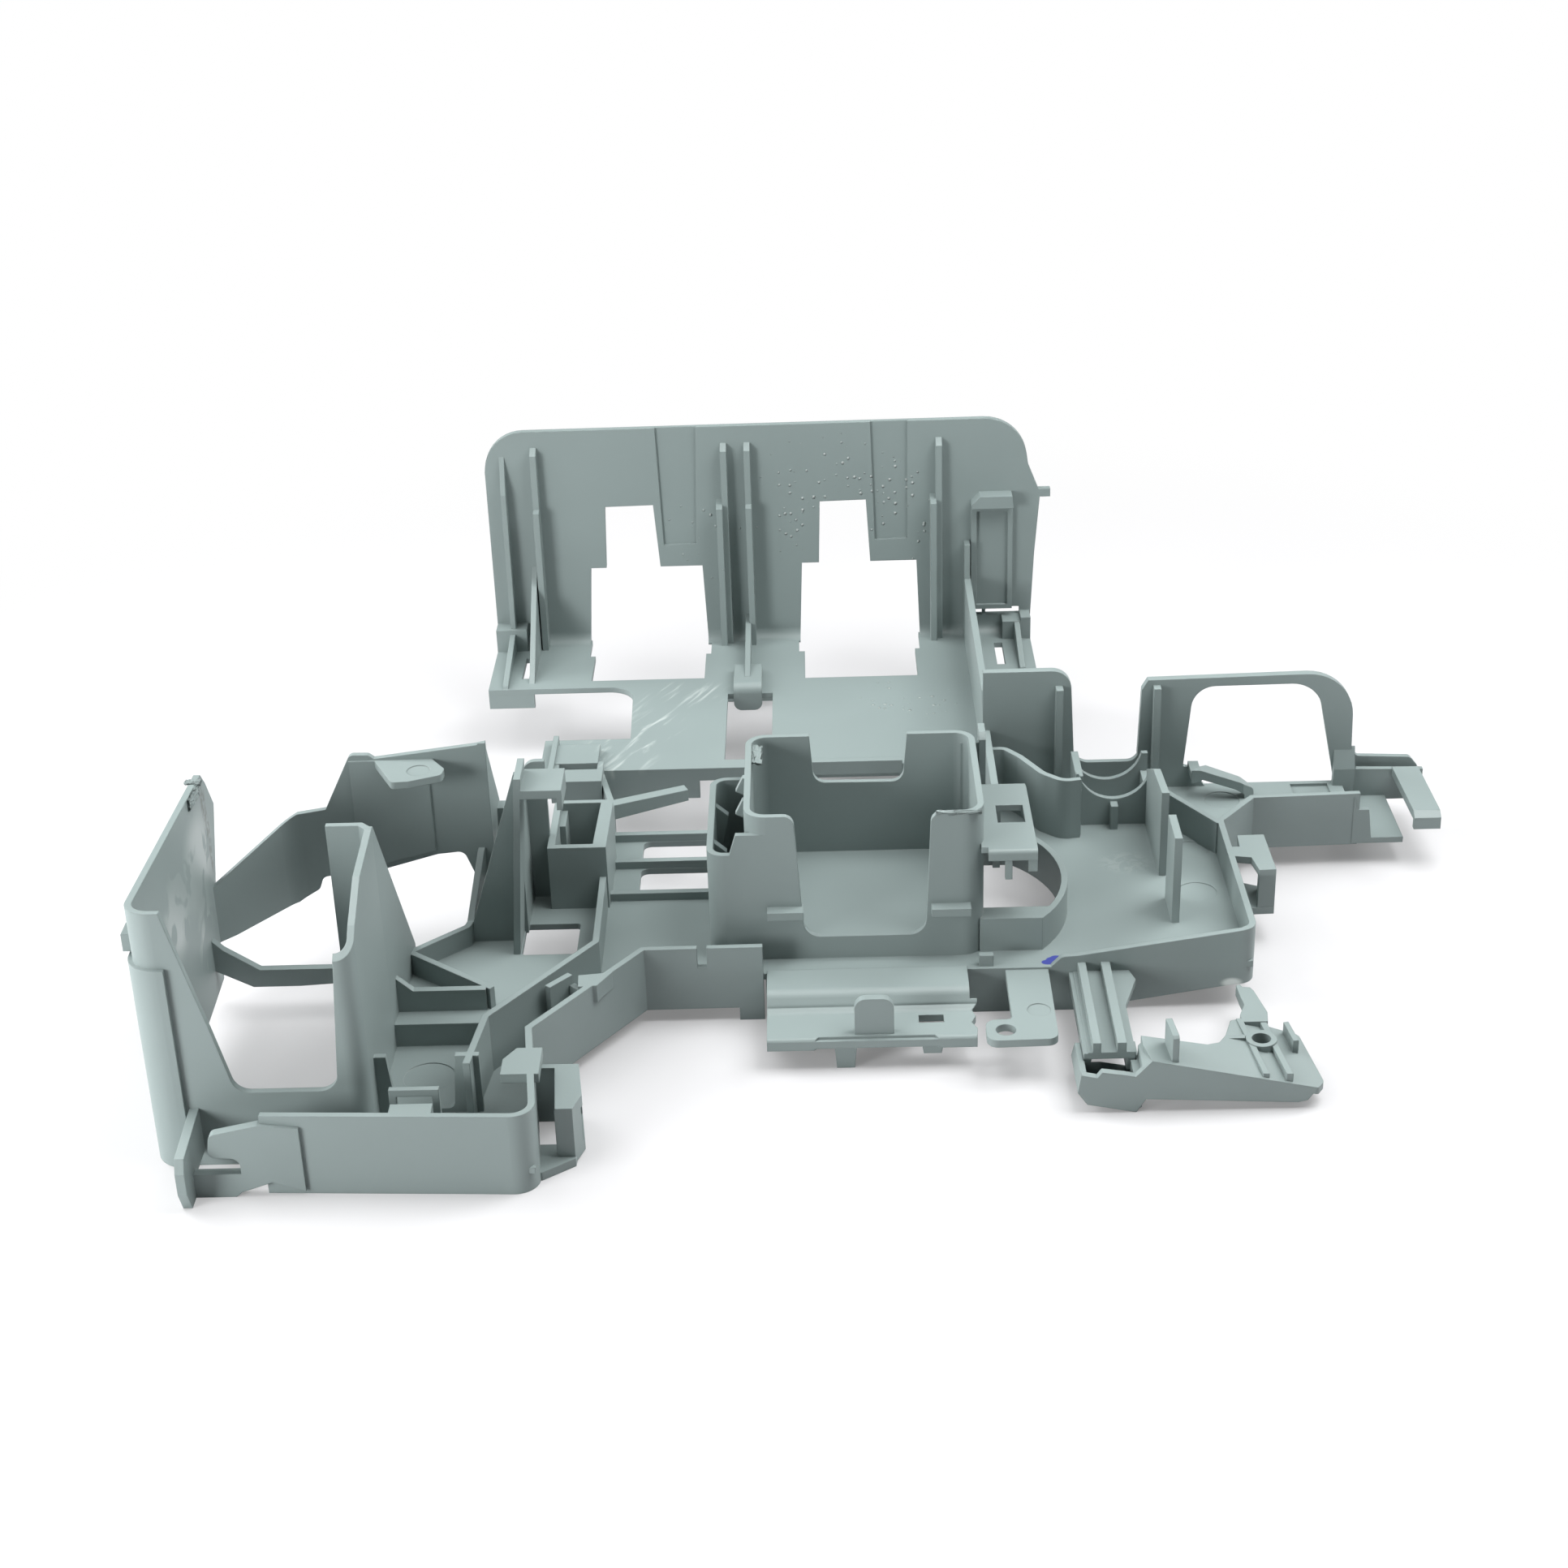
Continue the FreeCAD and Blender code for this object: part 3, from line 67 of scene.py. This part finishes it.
# Places of the marks on the surface: centre and reach of each soft-edged patch
DROPLETS = (
    ((0.0, 0.1205, 0.061), (0.030, 0.01, 0.028)),
    ((-0.036, 0.1205, 0.050), (0.017, 0.01, 0.018)),
    ((0.020, 0.1205, 0.056), (0.012, 0.01, 0.022)),
    ((0.020, 0.078, 0.020), (0.022, 0.02, 0.004)),
)
STREAKS = (
    ((-0.059, 0.047, 0.020), (0.014, 0.016, 0.004)),
    ((-0.051, 0.066, 0.020), (0.013, 0.020, 0.004)),
    ((-0.040, 0.083, 0.020), (0.016, 0.010, 0.004)),
)
# Glossy patches on the left wall: lower roughness, and a painted sheen that lifts their colour
# towards the pale colour
GLOSS_AND_PAINTED_SHEEN = (
    ((-0.146, -0.045, 0.041), (0.004, 0.018, 0.014)),
    ((-0.146, -0.068, 0.040), (0.004, 0.014, 0.013)),
    ((-0.146, -0.046, 0.022), (0.004, 0.010, 0.012)),
)
GATE_MARK = (
    ((0.0877, -0.0507, 0.0062), (0.0030, 0.003, 0.0016)),
)
TUB_SWIRL = (
    ((0.0687, -0.0023, 0.0115), (0.008, 0.007, 0.002)),
)
# Torn end of the left wall: its face is painted dark as shade, since it faces away from the light
TORN_END_SHADE = (
    ((-0.1459, -0.0335, 0.0500), (0.003, 0.0030, 0.0060)),
    ((-0.1459, -0.0325, 0.0430), (0.003, 0.0022, 0.0070)),
    ((-0.1459, -0.0328, 0.0360), (0.003, 0.0016, 0.0060)),
)
PEN_STROKE = (
    ((0.0458, -0.0485, 0.0115), (0.0017, 0.0013, 0.003)),
    ((0.0468, -0.0474, 0.0115), (0.0015, 0.0013, 0.003)),
    ((0.0479, -0.0466, 0.0115), (0.0016, 0.0012, 0.003)),
)

# Textures: CELLS is cells per metre, STEP the values where a mask starts and is full,
# SHARE how much of a mark's colour shows, the rest lengths in metres or plain factors
SECOND_TONE = 0.94
TONE_CELLS = 24.0
TONE_STEP = (0.3, 0.7)
GRAIN_STRENGTH = 0.25
GRAIN_DEPTH = 0.00005
EDGE_SAMPLES = 4
PATCH_STEP = (0.0, 0.6)
STREAK_TURN = math.radians(62.0)
STREAK_CELL = (0.022, 0.003, 0.022)
STREAK_STEP = (0.5, 0.8)
STREAK_SHARE = 0.55
GATE_SHARE = 0.8
SWIRL_CELLS = 260.0
SWIRL_STEP = (0.45, 0.6)
SWIRL_SHARE = 0.07
GLOSS_CELLS = 90.0
GLOSS_STEP = (0.42, 0.5)
# Share of the pale colour painted as sheen on the glossy patches
PAINTED_SHEEN_SHARE = 0.12
GLOSS_SMOOTHING = 0.18
TORN_CELLS = 700.0
TORN_STEP = (0.35, 0.6)
# Share of the dark colour painted as shade on the torn end
TORN_SHADE_SHARE = 0.7
PEN_STEP = (0.1, 0.35)
PEN_SHARE = 0.95
DROPLET_CELLS = 620.0
DROPLET_STEP = (0.45, 0.9)
DROPLET_REACH = 0.34
# Strength of the painted highlight mixed into each droplet's dome
DROPLET_PAINTED_HIGHLIGHT = 2.2
DROPLET_DEPTH = 0.0022

# Flash left by the mould: name, middle, size and slope about X and Y in degrees
FLASH = (
    ("flash_in_box", (-0.0199, -0.0105, 0.0474), (0.0024, 0.0095, 0.0003), (0.0, 12.0)),
    ("flash_on_box_post", (0.0258, -0.0437, 0.0482), (0.0100, 0.0011, 0.0005), (0.0, 1.0)),
    ("flash_on_left_wall", (-0.1456, -0.0420, 0.0558), (0.0005, 0.0090, 0.0026), (-5.0, 0.0)),
    ("flash_at_wall_tip", (-0.1465, -0.0370, 0.0571), (0.0034, 0.0016, 0.0006), (0.0, 3.0)),
)

PLASTIC_NAME = "Housing plastic"


# Settings
class HousingPlasticSettings(bpy.types.PropertyGroup):
    """Colours and texture of the moulded plastic"""

    base: bpy.props.FloatVectorProperty(
        name="Plastic", description="Colour of the plastic as moulded", subtype="COLOR", size=4,
        min=0.0, max=1.0, default=(0.198, 0.243, 0.239, 1.0))
    # The pale colour is also painted as the sheen on the glossy patches and as the highlight on the
    # droplets
    streak: bpy.props.FloatVectorProperty(
        name="Flow streaks", description="Pale colour of the flow streaks and the gate mark",
        subtype="COLOR", size=4, min=0.0, max=1.0, default=(0.62, 0.67, 0.65, 1.0))
    # Dark colour painted as shade on the torn end of the left wall
    torn: bpy.props.FloatVectorProperty(
        name="Torn edge", description="Dark colour of the torn end of the left wall",
        subtype="COLOR", size=4, min=0.0, max=1.0, default=(0.09, 0.10, 0.09, 1.0))
    pen: bpy.props.FloatVectorProperty(
        name="Pen mark", description="Blue of the short pen stroke on the ledge", subtype="COLOR",
        size=4, min=0.0, max=1.0, default=(0.02, 0.03, 0.22, 1.0))
    roughness: bpy.props.FloatProperty(
        name="Roughness", description="Matt finish of the plastic", min=0.0, max=1.0, default=0.5)
    edge_radius: bpy.props.FloatProperty(
        name="Edge radius", description="Rounding that the mould leaves on edges", unit="LENGTH",
        min=0.0, max=0.002, default=0.0003)
    grain_size: bpy.props.FloatProperty(
        name="Grain size", description="Size of the fine matt texture", unit="LENGTH", min=0.0001,
        max=0.01, default=0.0009)


class HousingFlashSettings(bpy.types.PropertyGroup):
    """Thin torn flash that the mould left on some edges"""

    cuts: bpy.props.IntProperty(
        name="Cuts", description="Divisions along each strip of flash", min=2, max=12, default=6)
    ragged: bpy.props.FloatProperty(
        name="Raggedness", description="How far the torn edges wander", unit="LENGTH", min=0.0,
        max=0.001, default=0.00022)


class HousingStageSettings(bpy.types.PropertyGroup):
    """Floor, light and camera of the photo stage"""

    floor: bpy.props.FloatVectorProperty(
        name="Floor", description="Colour of the floor", subtype="COLOR", size=4, min=0.0, max=1.0,
        default=(0.5, 0.5, 0.51, 1.0))
    eye: bpy.props.FloatVectorProperty(
        name="Camera", description="Place of the camera", subtype="TRANSLATION", unit="LENGTH",
        default=(-0.0046, -0.5588, 0.3189))
    tilt: bpy.props.FloatProperty(
        name="Tilt", description="Camera angle up from straight down", subtype="ANGLE",
        default=math.radians(63.0))
    turn: bpy.props.FloatProperty(
        name="Turn", description="Camera angle about the vertical", subtype="ANGLE",
        default=math.radians(0.95))
    roll: bpy.props.FloatProperty(
        name="Roll", description="Camera angle about its own axis", subtype="ANGLE",
        default=math.radians(-1.86))
    lens: bpy.props.FloatProperty(
        name="Lens", description="Focal length over a 36 mm frame", min=10.0, max=200.0,
        default=59.63)


# Shader pieces
def group_tree(name, inputs, outputs):
    """Empty shader group with the given sockets, and its input and output nodes."""
    tree = bpy.data.node_groups.new(name, "ShaderNodeTree")
    for socket, kind, value in inputs:
        item = tree.interface.new_socket(socket, in_out="INPUT", socket_type=kind)
        if value is not None:
            item.default_value = value
    for socket, kind in outputs:
        tree.interface.new_socket(socket, in_out="OUTPUT", socket_type=kind)
    return tree, tree.nodes.new("NodeGroupInput"), tree.nodes.new("NodeGroupOutput")


def math_node(tree, operation, first, second=None, clamp=False):
    """Math node whose inputs are sockets or numbers; returns its output."""
    node = tree.nodes.new("ShaderNodeMath")
    node.operation = operation
    node.use_clamp = clamp
    for socket, value in zip(node.inputs, (first, second)):
        if isinstance(value, bpy.types.NodeSocket):
            tree.links.new(value, socket)
        elif value is not None:
            socket.default_value = value
    return node.outputs[0]


def noise(tree, vector, scale, detail=2.0, roughness=0.5, distortion=0.0):
    """Noise texture on a vector; returns its value output."""
    node = tree.nodes.new("ShaderNodeTexNoise")
    tree.links.new(vector, node.inputs["Vector"])
    if isinstance(scale, bpy.types.NodeSocket):
        tree.links.new(scale, node.inputs["Scale"])
    else:
        node.inputs["Scale"].default_value = scale
    node.inputs["Detail"].default_value = detail
    node.inputs["Roughness"].default_value = roughness
    node.inputs["Distortion"].default_value = distortion
    return node.outputs["Fac"]


def ramp(tree, value, step):
    """Smooth rise from 0 to 1 between the two values of a step."""
    node = tree.nodes.new("ShaderNodeMapRange")
    node.interpolation_type = "SMOOTHSTEP"
    node.inputs["From Min"].default_value, node.inputs["From Max"].default_value = step
    tree.links.new(value, node.inputs["Value"])
    return node.outputs["Result"]


def vector_length(tree, vector):
    """Length of a vector."""
    node = tree.nodes.new("ShaderNodeVectorMath")
    node.operation = "LENGTH"
    tree.links.new(vector, node.inputs[0])
    return node.outputs["Value"]


def grain_group():
    """Fine matt texture of the mould: height of the grain and its slow tone."""
    tree, given, result = group_tree(
        "Moulded grain", [("Vector", "NodeSocketVector", None), ("Size", "NodeSocketFloat", 0.001)],
        [("Height", "NodeSocketFloat"), ("Tone", "NodeSocketFloat")])
    scale = math_node(tree, "DIVIDE", 1.0, given.outputs["Size"])
    fine = noise(tree, given.outputs["Vector"], scale, detail=3.0, roughness=0.6)
    slow = noise(tree, given.outputs["Vector"], TONE_CELLS)
    tree.links.new(fine, result.inputs["Height"])
    tree.links.new(slow, result.inputs["Tone"])
    return tree


def patch_group():
    """Soft-edged patch shaped as an ellipsoid: 1 at its centre and 0 beyond its reach."""
    tree, given, result = group_tree(
        "Marked patch", [("Vector", "NodeSocketVector", None), ("Centre", "NodeSocketVector", None),
                         ("Reach", "NodeSocketVector", (0.01, 0.01, 0.01))],
        [("Mask", "NodeSocketFloat")])
    away = tree.nodes.new("ShaderNodeVectorMath")
    away.operation = "SUBTRACT"
    tree.links.new(given.outputs["Vector"], away.inputs[0])
    tree.links.new(given.outputs["Centre"], away.inputs[1])
    scaled = tree.nodes.new("ShaderNodeVectorMath")
    scaled.operation = "DIVIDE"
    tree.links.new(away.outputs[0], scaled.inputs[0])
    tree.links.new(given.outputs["Reach"], scaled.inputs[1])
    away_share = vector_length(tree, scaled.outputs[0])
    inside = math_node(tree, "SUBTRACT", 1.0, away_share, clamp=True)
    tree.links.new(ramp(tree, inside, PATCH_STEP), result.inputs["Mask"])
    return tree


def use_group(material, tree, **values):
    """Group node in a material with values or links for its inputs."""
    node = material.node_tree.nodes.new("ShaderNodeGroup")
    node.node_tree = tree
    for name, value in values.items():
        socket = node.inputs[name]
        if isinstance(value, bpy.types.NodeSocket):
            material.node_tree.links.new(value, socket)
        else:
            socket.default_value = value
    return node


def mix_colour(tree, factor, first, second):
    """Colour mixed by a factor; first and second are sockets or colours."""
    node = tree.nodes.new("ShaderNodeMix")
    node.data_type = "RGBA"
    node.clamp_factor = True
    tree.links.new(factor, node.inputs[0])
    # A Mix node repeats its sockets for each kind of value: 6, 7 and output 2 are the colours
    for socket, value in ((node.inputs[6], first), (node.inputs[7], second)):
        if isinstance(value, bpy.types.NodeSocket):
            tree.links.new(value, socket)
        else:
            socket.default_value = value
    return node.outputs[2]


def marks(material, place, patches):
    """Sum of the soft-edged patches, from 0 to 1."""
    tree = material.node_tree
    total = None
    for centre, reach in patches:
        patch = use_group(material, bpy.data.node_groups["Marked patch"], Vector=place,
                          Centre=centre, Reach=reach).outputs["Mask"]
        total = patch if total is None else math_node(tree, "ADD", total, patch, clamp=True)
    return total


def plastic_material(name, settings):
    """Grey-green matt plastic with fine grain, slow tone and softened edges."""
    material = bpy.data.materials.new(name)
    material.use_nodes = True
    tree = material.node_tree
    shader = tree.nodes["Principled BSDF"]
    place = tree.nodes.new("ShaderNodeTexCoord").outputs["Object"]
    grain = use_group(material, bpy.data.node_groups["Moulded grain"], Vector=place,
                      Size=settings.grain_size)
    tone = ramp(tree, grain.outputs["Tone"], TONE_STEP)
    dull = tuple(SECOND_TONE * channel for channel in settings.base[:3]) + (1.0,)
    tree.links.new(mix_colour(tree, tone, settings.base, dull), shader.inputs["Base Color"])
    shader.inputs["Roughness"].default_value = settings.roughness
    edge = tree.nodes.new("ShaderNodeBevel")
    edge.samples = EDGE_SAMPLES
    edge.inputs["Radius"].default_value = settings.edge_radius
    bump = tree.nodes.new("ShaderNodeBump")
    bump.inputs["Strength"].default_value = GRAIN_STRENGTH
    bump.inputs["Distance"].default_value = GRAIN_DEPTH
    tree.links.new(grain.outputs["Height"], bump.inputs["Height"])
    tree.links.new(edge.outputs["Normal"], bump.inputs["Normal"])
    tree.links.new(bump.outputs["Normal"], shader.inputs["Normal"])
    return material


def flow_lines(tree, place):
    """Thin lines along which the plastic flowed over the deck."""
    turned = tree.nodes.new("ShaderNodeMapping")
    turned.vector_type = "TEXTURE"
    turned.inputs["Rotation"].default_value = (0.0, 0.0, STREAK_TURN)
    turned.inputs["Scale"].default_value = STREAK_CELL
    tree.links.new(place, turned.inputs["Vector"])
    lines = noise(tree, turned.outputs[0], 1.0, detail=3.0, roughness=0.6, distortion=0.8)
    return ramp(tree, lines, STREAK_STEP)


def add_stains(material, settings):
    """Flow streaks, gate mark, swirl, glossy patches with painted sheen, torn end with painted
    shade, and pen stroke.
    """
    tree = material.node_tree
    shader = tree.nodes["Principled BSDF"]
    place = tree.nodes["Texture Coordinate"].outputs["Object"]

    def spread(patches, texture):
        """Patches broken up by a texture."""
        return math_node(tree, "MULTIPLY", marks(material, place, patches), texture)

    streak = spread(STREAKS, flow_lines(tree, place))
    gate = marks(material, place, GATE_MARK)
    swirl = spread(TUB_SWIRL, ramp(tree, noise(tree, place, SWIRL_CELLS, distortion=2.5),
                                   SWIRL_STEP))
    # Glossy patches: the roughness drops there, and the colour is lifted as a painted sheen
    gloss_and_painted_sheen = spread(GLOSS_AND_PAINTED_SHEEN, ramp(tree, noise(tree, place, GLOSS_CELLS, distortion=1.0), GLOSS_STEP))
    # Painted shade on the torn end of the left wall, broken up by fine noise
    torn = spread(TORN_END_SHADE, ramp(tree, noise(tree, place, TORN_CELLS, detail=3.0, roughness=0.6),
                                 TORN_STEP))
    pen = ramp(tree, marks(material, place, PEN_STROKE), PEN_STEP)
    colour = shader.inputs["Base Color"].links[0].from_socket
    # Streaks, gate mark, swirl and pen stroke are marks in the plastic; the gloss tint is painted
    # sheen and the torn-end tint is painted shade
    for mask, share, tint in (
            (streak, STREAK_SHARE, settings.streak), (gate, GATE_SHARE, settings.streak),
            (swirl, SWIRL_SHARE, settings.streak), (gloss_and_painted_sheen, PAINTED_SHEEN_SHARE, settings.streak),
            (torn, TORN_SHADE_SHARE, settings.torn), (pen, PEN_SHARE, settings.pen)):
        colour = mix_colour(tree, math_node(tree, "MULTIPLY", mask, share), colour, tint)
    tree.links.new(colour, shader.inputs["Base Color"])
    smoother = math_node(tree, "MULTIPLY", gloss_and_painted_sheen, GLOSS_SMOOTHING)
    rough = math_node(tree, "SUBTRACT", settings.roughness, smoother)
    tree.links.new(rough, shader.inputs["Roughness"])


def add_droplets(material, settings):
    """Small raised droplets that the moulding left on the panel and the deck, with a painted
    highlight on each dome.
    """
    tree = material.node_tree
    shader = tree.nodes["Principled BSDF"]
    place = tree.nodes["Texture Coordinate"].outputs["Object"]
    cells = tree.nodes.new("ShaderNodeTexVoronoi")
    cells.inputs["Scale"].default_value = DROPLET_CELLS
    tree.links.new(place, cells.inputs["Vector"])
    chance = tree.nodes.new("ShaderNodeSeparateColor")
    tree.links.new(cells.outputs["Color"], chance.inputs["Color"])
    size = math_node(tree, "MULTIPLY", marks(material, place, DROPLETS),
                     ramp(tree, chance.outputs["Red"], DROPLET_STEP))
    dome = math_node(tree, "SUBTRACT", math_node(tree, "MULTIPLY", size, DROPLET_REACH),
                     cells.outputs["Distance"], clamp=True)
    # Painted highlight: each droplet's dome is mixed towards the pale colour, standing for the light
    # it catches
    painted_highlight = math_node(tree, "MULTIPLY", dome, DROPLET_PAINTED_HIGHLIGHT, clamp=True)
    colour = shader.inputs["Base Color"].links[0].from_socket
    tree.links.new(mix_colour(tree, painted_highlight, colour, settings.streak), shader.inputs["Base Color"])
    drops = tree.nodes.new("ShaderNodeBump")
    drops.inputs["Strength"].default_value = 1.0
    drops.inputs["Distance"].default_value = DROPLET_DEPTH
    tree.links.new(dome, drops.inputs["Height"])
    tree.links.new(shader.inputs["Normal"].links[0].from_socket, drops.inputs["Normal"])
    tree.links.new(drops.outputs["Normal"], shader.inputs["Normal"])


# Operators
class HOUSING_OT_moulded_finish(bpy.types.Operator):
    """Give the housing and the latch lever their matt moulded plastic"""

    bl_idname = "housing.moulded_finish"
    bl_label = "Moulded finish"

    def execute(self, context):
        settings = context.scene.housing_plastic
        grain_group()
        patch_group()
        for node, name in (("housing", PLASTIC_NAME), ("latch_lever", "Lever plastic")):
            material = plastic_material(name, settings)
            if node == "housing":
                add_stains(material, settings)
                add_droplets(material, settings)
            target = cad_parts[node]
            if target.material_slots:
                for slot in target.material_slots:
                    slot.material = material
            else:
                target.data.materials.append(material)
        return {"FINISHED"}


class HOUSING_OT_torn_flash(bpy.types.Operator):
    """Model the strips of torn flash on the box and on the left wall"""

    bl_idname = "housing.torn_flash"
    bl_label = "Torn flash"

    def execute(self, context):
        settings = context.scene.housing_flash
        material = bpy.data.materials.get(PLASTIC_NAME)
        if material is None:
            raise RuntimeError("Run Moulded finish first")
        for seed, (name, middle, size, slope) in enumerate(FLASH):
            bpy.ops.object.select_all(action="DESELECT")
            turn = (math.radians(slope[0]), math.radians(slope[1]), 0.0)
            bpy.ops.mesh.primitive_cube_add(size=1.0, location=middle, rotation=turn, scale=size)
            strip = context.object
            strip.name = name
            bpy.ops.object.transform_apply(location=True, rotation=True, scale=True)
            bpy.ops.object.mode_set(mode="EDIT")
            bpy.ops.mesh.select_all(action="SELECT")
            bpy.ops.mesh.subdivide(number_cuts=settings.cuts)
            bpy.ops.transform.vertex_random(offset=settings.ragged, normal=0.0, uniform=1.0,
                                            seed=seed)
            bpy.ops.object.mode_set(mode="OBJECT")
            strip.data.materials.append(material)
            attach(strip, "root")
        return {"FINISHED"}


class HOUSING_OT_stage(bpy.types.Operator):
    """Set up the pale floor, the soft studio light and the camera of the photo"""

    bl_idname = "housing.stage"
    bl_label = "Photo stage"

    def execute(self, context):
        settings = context.scene.housing_stage
        self.floor(settings)
        self.world(context)
        self.lamps(context)
        self.camera(context, settings)
        context.scene.view_settings.view_transform = "Standard"
        return {"FINISHED"}

    def floor(self, settings):
        """Large plain floor that keeps the shadow and runs out to white for the camera."""
        bpy.ops.mesh.primitive_plane_add(size=FLOOR_SIDE, location=(0.0, 0.0, 0.0))
        floor = bpy.context.object
        floor.name = "studio_floor"
        material = bpy.data.materials.new("Studio floor")
        material.use_nodes = True
        tree = material.node_tree
        shader = tree.nodes["Principled BSDF"]
        shader.inputs["Base Color"].default_value = settings.floor
        shader.inputs["Roughness"].default_value = FLOOR_ROUGHNESS
        place = tree.nodes.new("ShaderNodeTexCoord").outputs["Object"]
        outward = ramp(tree, vector_length(tree, place), FLOOR_FADE)
        outward = math_node(tree, "MULTIPLY", outward, 1.0 - FLOOR_WHITE_NEAR)
        outward = math_node(tree, "ADD", outward, FLOOR_WHITE_NEAR)
        rays = tree.nodes.new("ShaderNodeLightPath")
        white = tree.nodes.new("ShaderNodeEmission")
        mix = tree.nodes.new("ShaderNodeMixShader")
        seen = math_node(tree, "MULTIPLY", rays.outputs["Is Camera Ray"], outward)
        tree.links.new(seen, mix.inputs[0])
        tree.links.new(shader.outputs[0], mix.inputs[1])
        tree.links.new(white.outputs[0], mix.inputs[2])
        tree.links.new(mix.outputs[0], tree.nodes["Material Output"].inputs["Surface"])
        floor.data.materials.append(material)

    def world(self, context):
        """Faint surround that lights the part, shown as plain white to the camera."""
        world = bpy.data.worlds.new("Studio surround")
        context.scene.world = world
        world.use_nodes = True
        tree = world.node_tree
        light = tree.nodes["Background"]
        light.inputs["Color"].default_value = SURROUND_COLOUR
        light.inputs["Strength"].default_value = SURROUND_STRENGTH
        seen = tree.nodes.new("ShaderNodeBackground")
        seen.inputs["Color"].default_value = WHITE
        rays = tree.nodes.new("ShaderNodeLightPath")
        mix = tree.nodes.new("ShaderNodeMixShader")
        tree.links.new(rays.outputs["Is Camera Ray"], mix.inputs[0])
        tree.links.new(light.outputs[0], mix.inputs[1])
        tree.links.new(seen.outputs[0], mix.inputs[2])
        tree.links.new(mix.outputs[0], tree.nodes["World Output"].inputs["Surface"])

    def lamps(self, context):
        """Soft square lamps above the part and at both sides of it, aimed at its middle."""
        for name, place, size, power in LAMPS:
            lamp = bpy.data.lights.new(name, "AREA")
            lamp.shape = "SQUARE"
            lamp.size = size
            lamp.energy = power
            holder = bpy.data.objects.new(name, lamp)
            context.scene.collection.objects.link(holder)
            holder.location = place
            holder.rotation_euler = (-Vector(place)).to_track_quat("-Z", "Y").to_euler()

    def camera(self, context, settings):
        """Camera at the photo's place, angle and lens."""
        lens = bpy.data.cameras.new("photo_camera")
        lens.sensor_width = SENSOR_WIDTH
        lens.lens = settings.lens
        lens.clip_start = CLIP_START
        lens.clip_end = CLIP_END
        camera = bpy.data.objects.new("photo_camera", lens)
        context.scene.collection.objects.link(camera)
        turned = Matrix.Rotation(settings.turn, 4, "Z") @ Matrix.Rotation(settings.tilt, 4, "X")
        turned = turned @ Matrix.Rotation(settings.roll, 4, "Z")
        camera.matrix_world = Matrix.Translation(settings.eye) @ turned
        context.scene.camera = camera


class HOUSING_PT_sidebar(bpy.types.Panel):
    """Sizes, colours and steps of the dressed housing"""

    bl_idname = "HOUSING_PT_sidebar"
    bl_label = "Housing"
    bl_space_type = "VIEW_3D"
    bl_region_type = "UI"
    bl_category = "Housing"

    def draw(self, context):
        for group in (context.scene.housing_plastic, context.scene.housing_flash,
                      context.scene.housing_stage):
            box = self.layout.box()
            for key in group.__annotations__:
                box.prop(group, key)
        for step in STEPS:
            self.layout.operator(step.bl_idname)


STEPS = (HOUSING_OT_moulded_finish, HOUSING_OT_torn_flash, HOUSING_OT_stage)
CLASSES = ((HousingPlasticSettings, HousingFlashSettings, HousingStageSettings) + STEPS
           + (HOUSING_PT_sidebar,))


def register():
    """Register every class and the three groups of settings."""
    for cls in CLASSES:
        bpy.utils.register_class(cls)
    bpy.types.Scene.housing_plastic = bpy.props.PointerProperty(type=HousingPlasticSettings)
    bpy.types.Scene.housing_flash = bpy.props.PointerProperty(type=HousingFlashSettings)
    bpy.types.Scene.housing_stage = bpy.props.PointerProperty(type=HousingStageSettings)


def unregister():
    """Remove the settings and the classes again."""
    del bpy.types.Scene.housing_stage
    del bpy.types.Scene.housing_flash
    del bpy.types.Scene.housing_plastic
    for cls in reversed(CLASSES):
        bpy.utils.unregister_class(cls)


def main():
    """Run every step in order."""
    register()
    bpy.ops.housing.moulded_finish()
    bpy.ops.housing.torn_flash()
    bpy.ops.housing.stage()


if __name__ == "__main__":
    main()
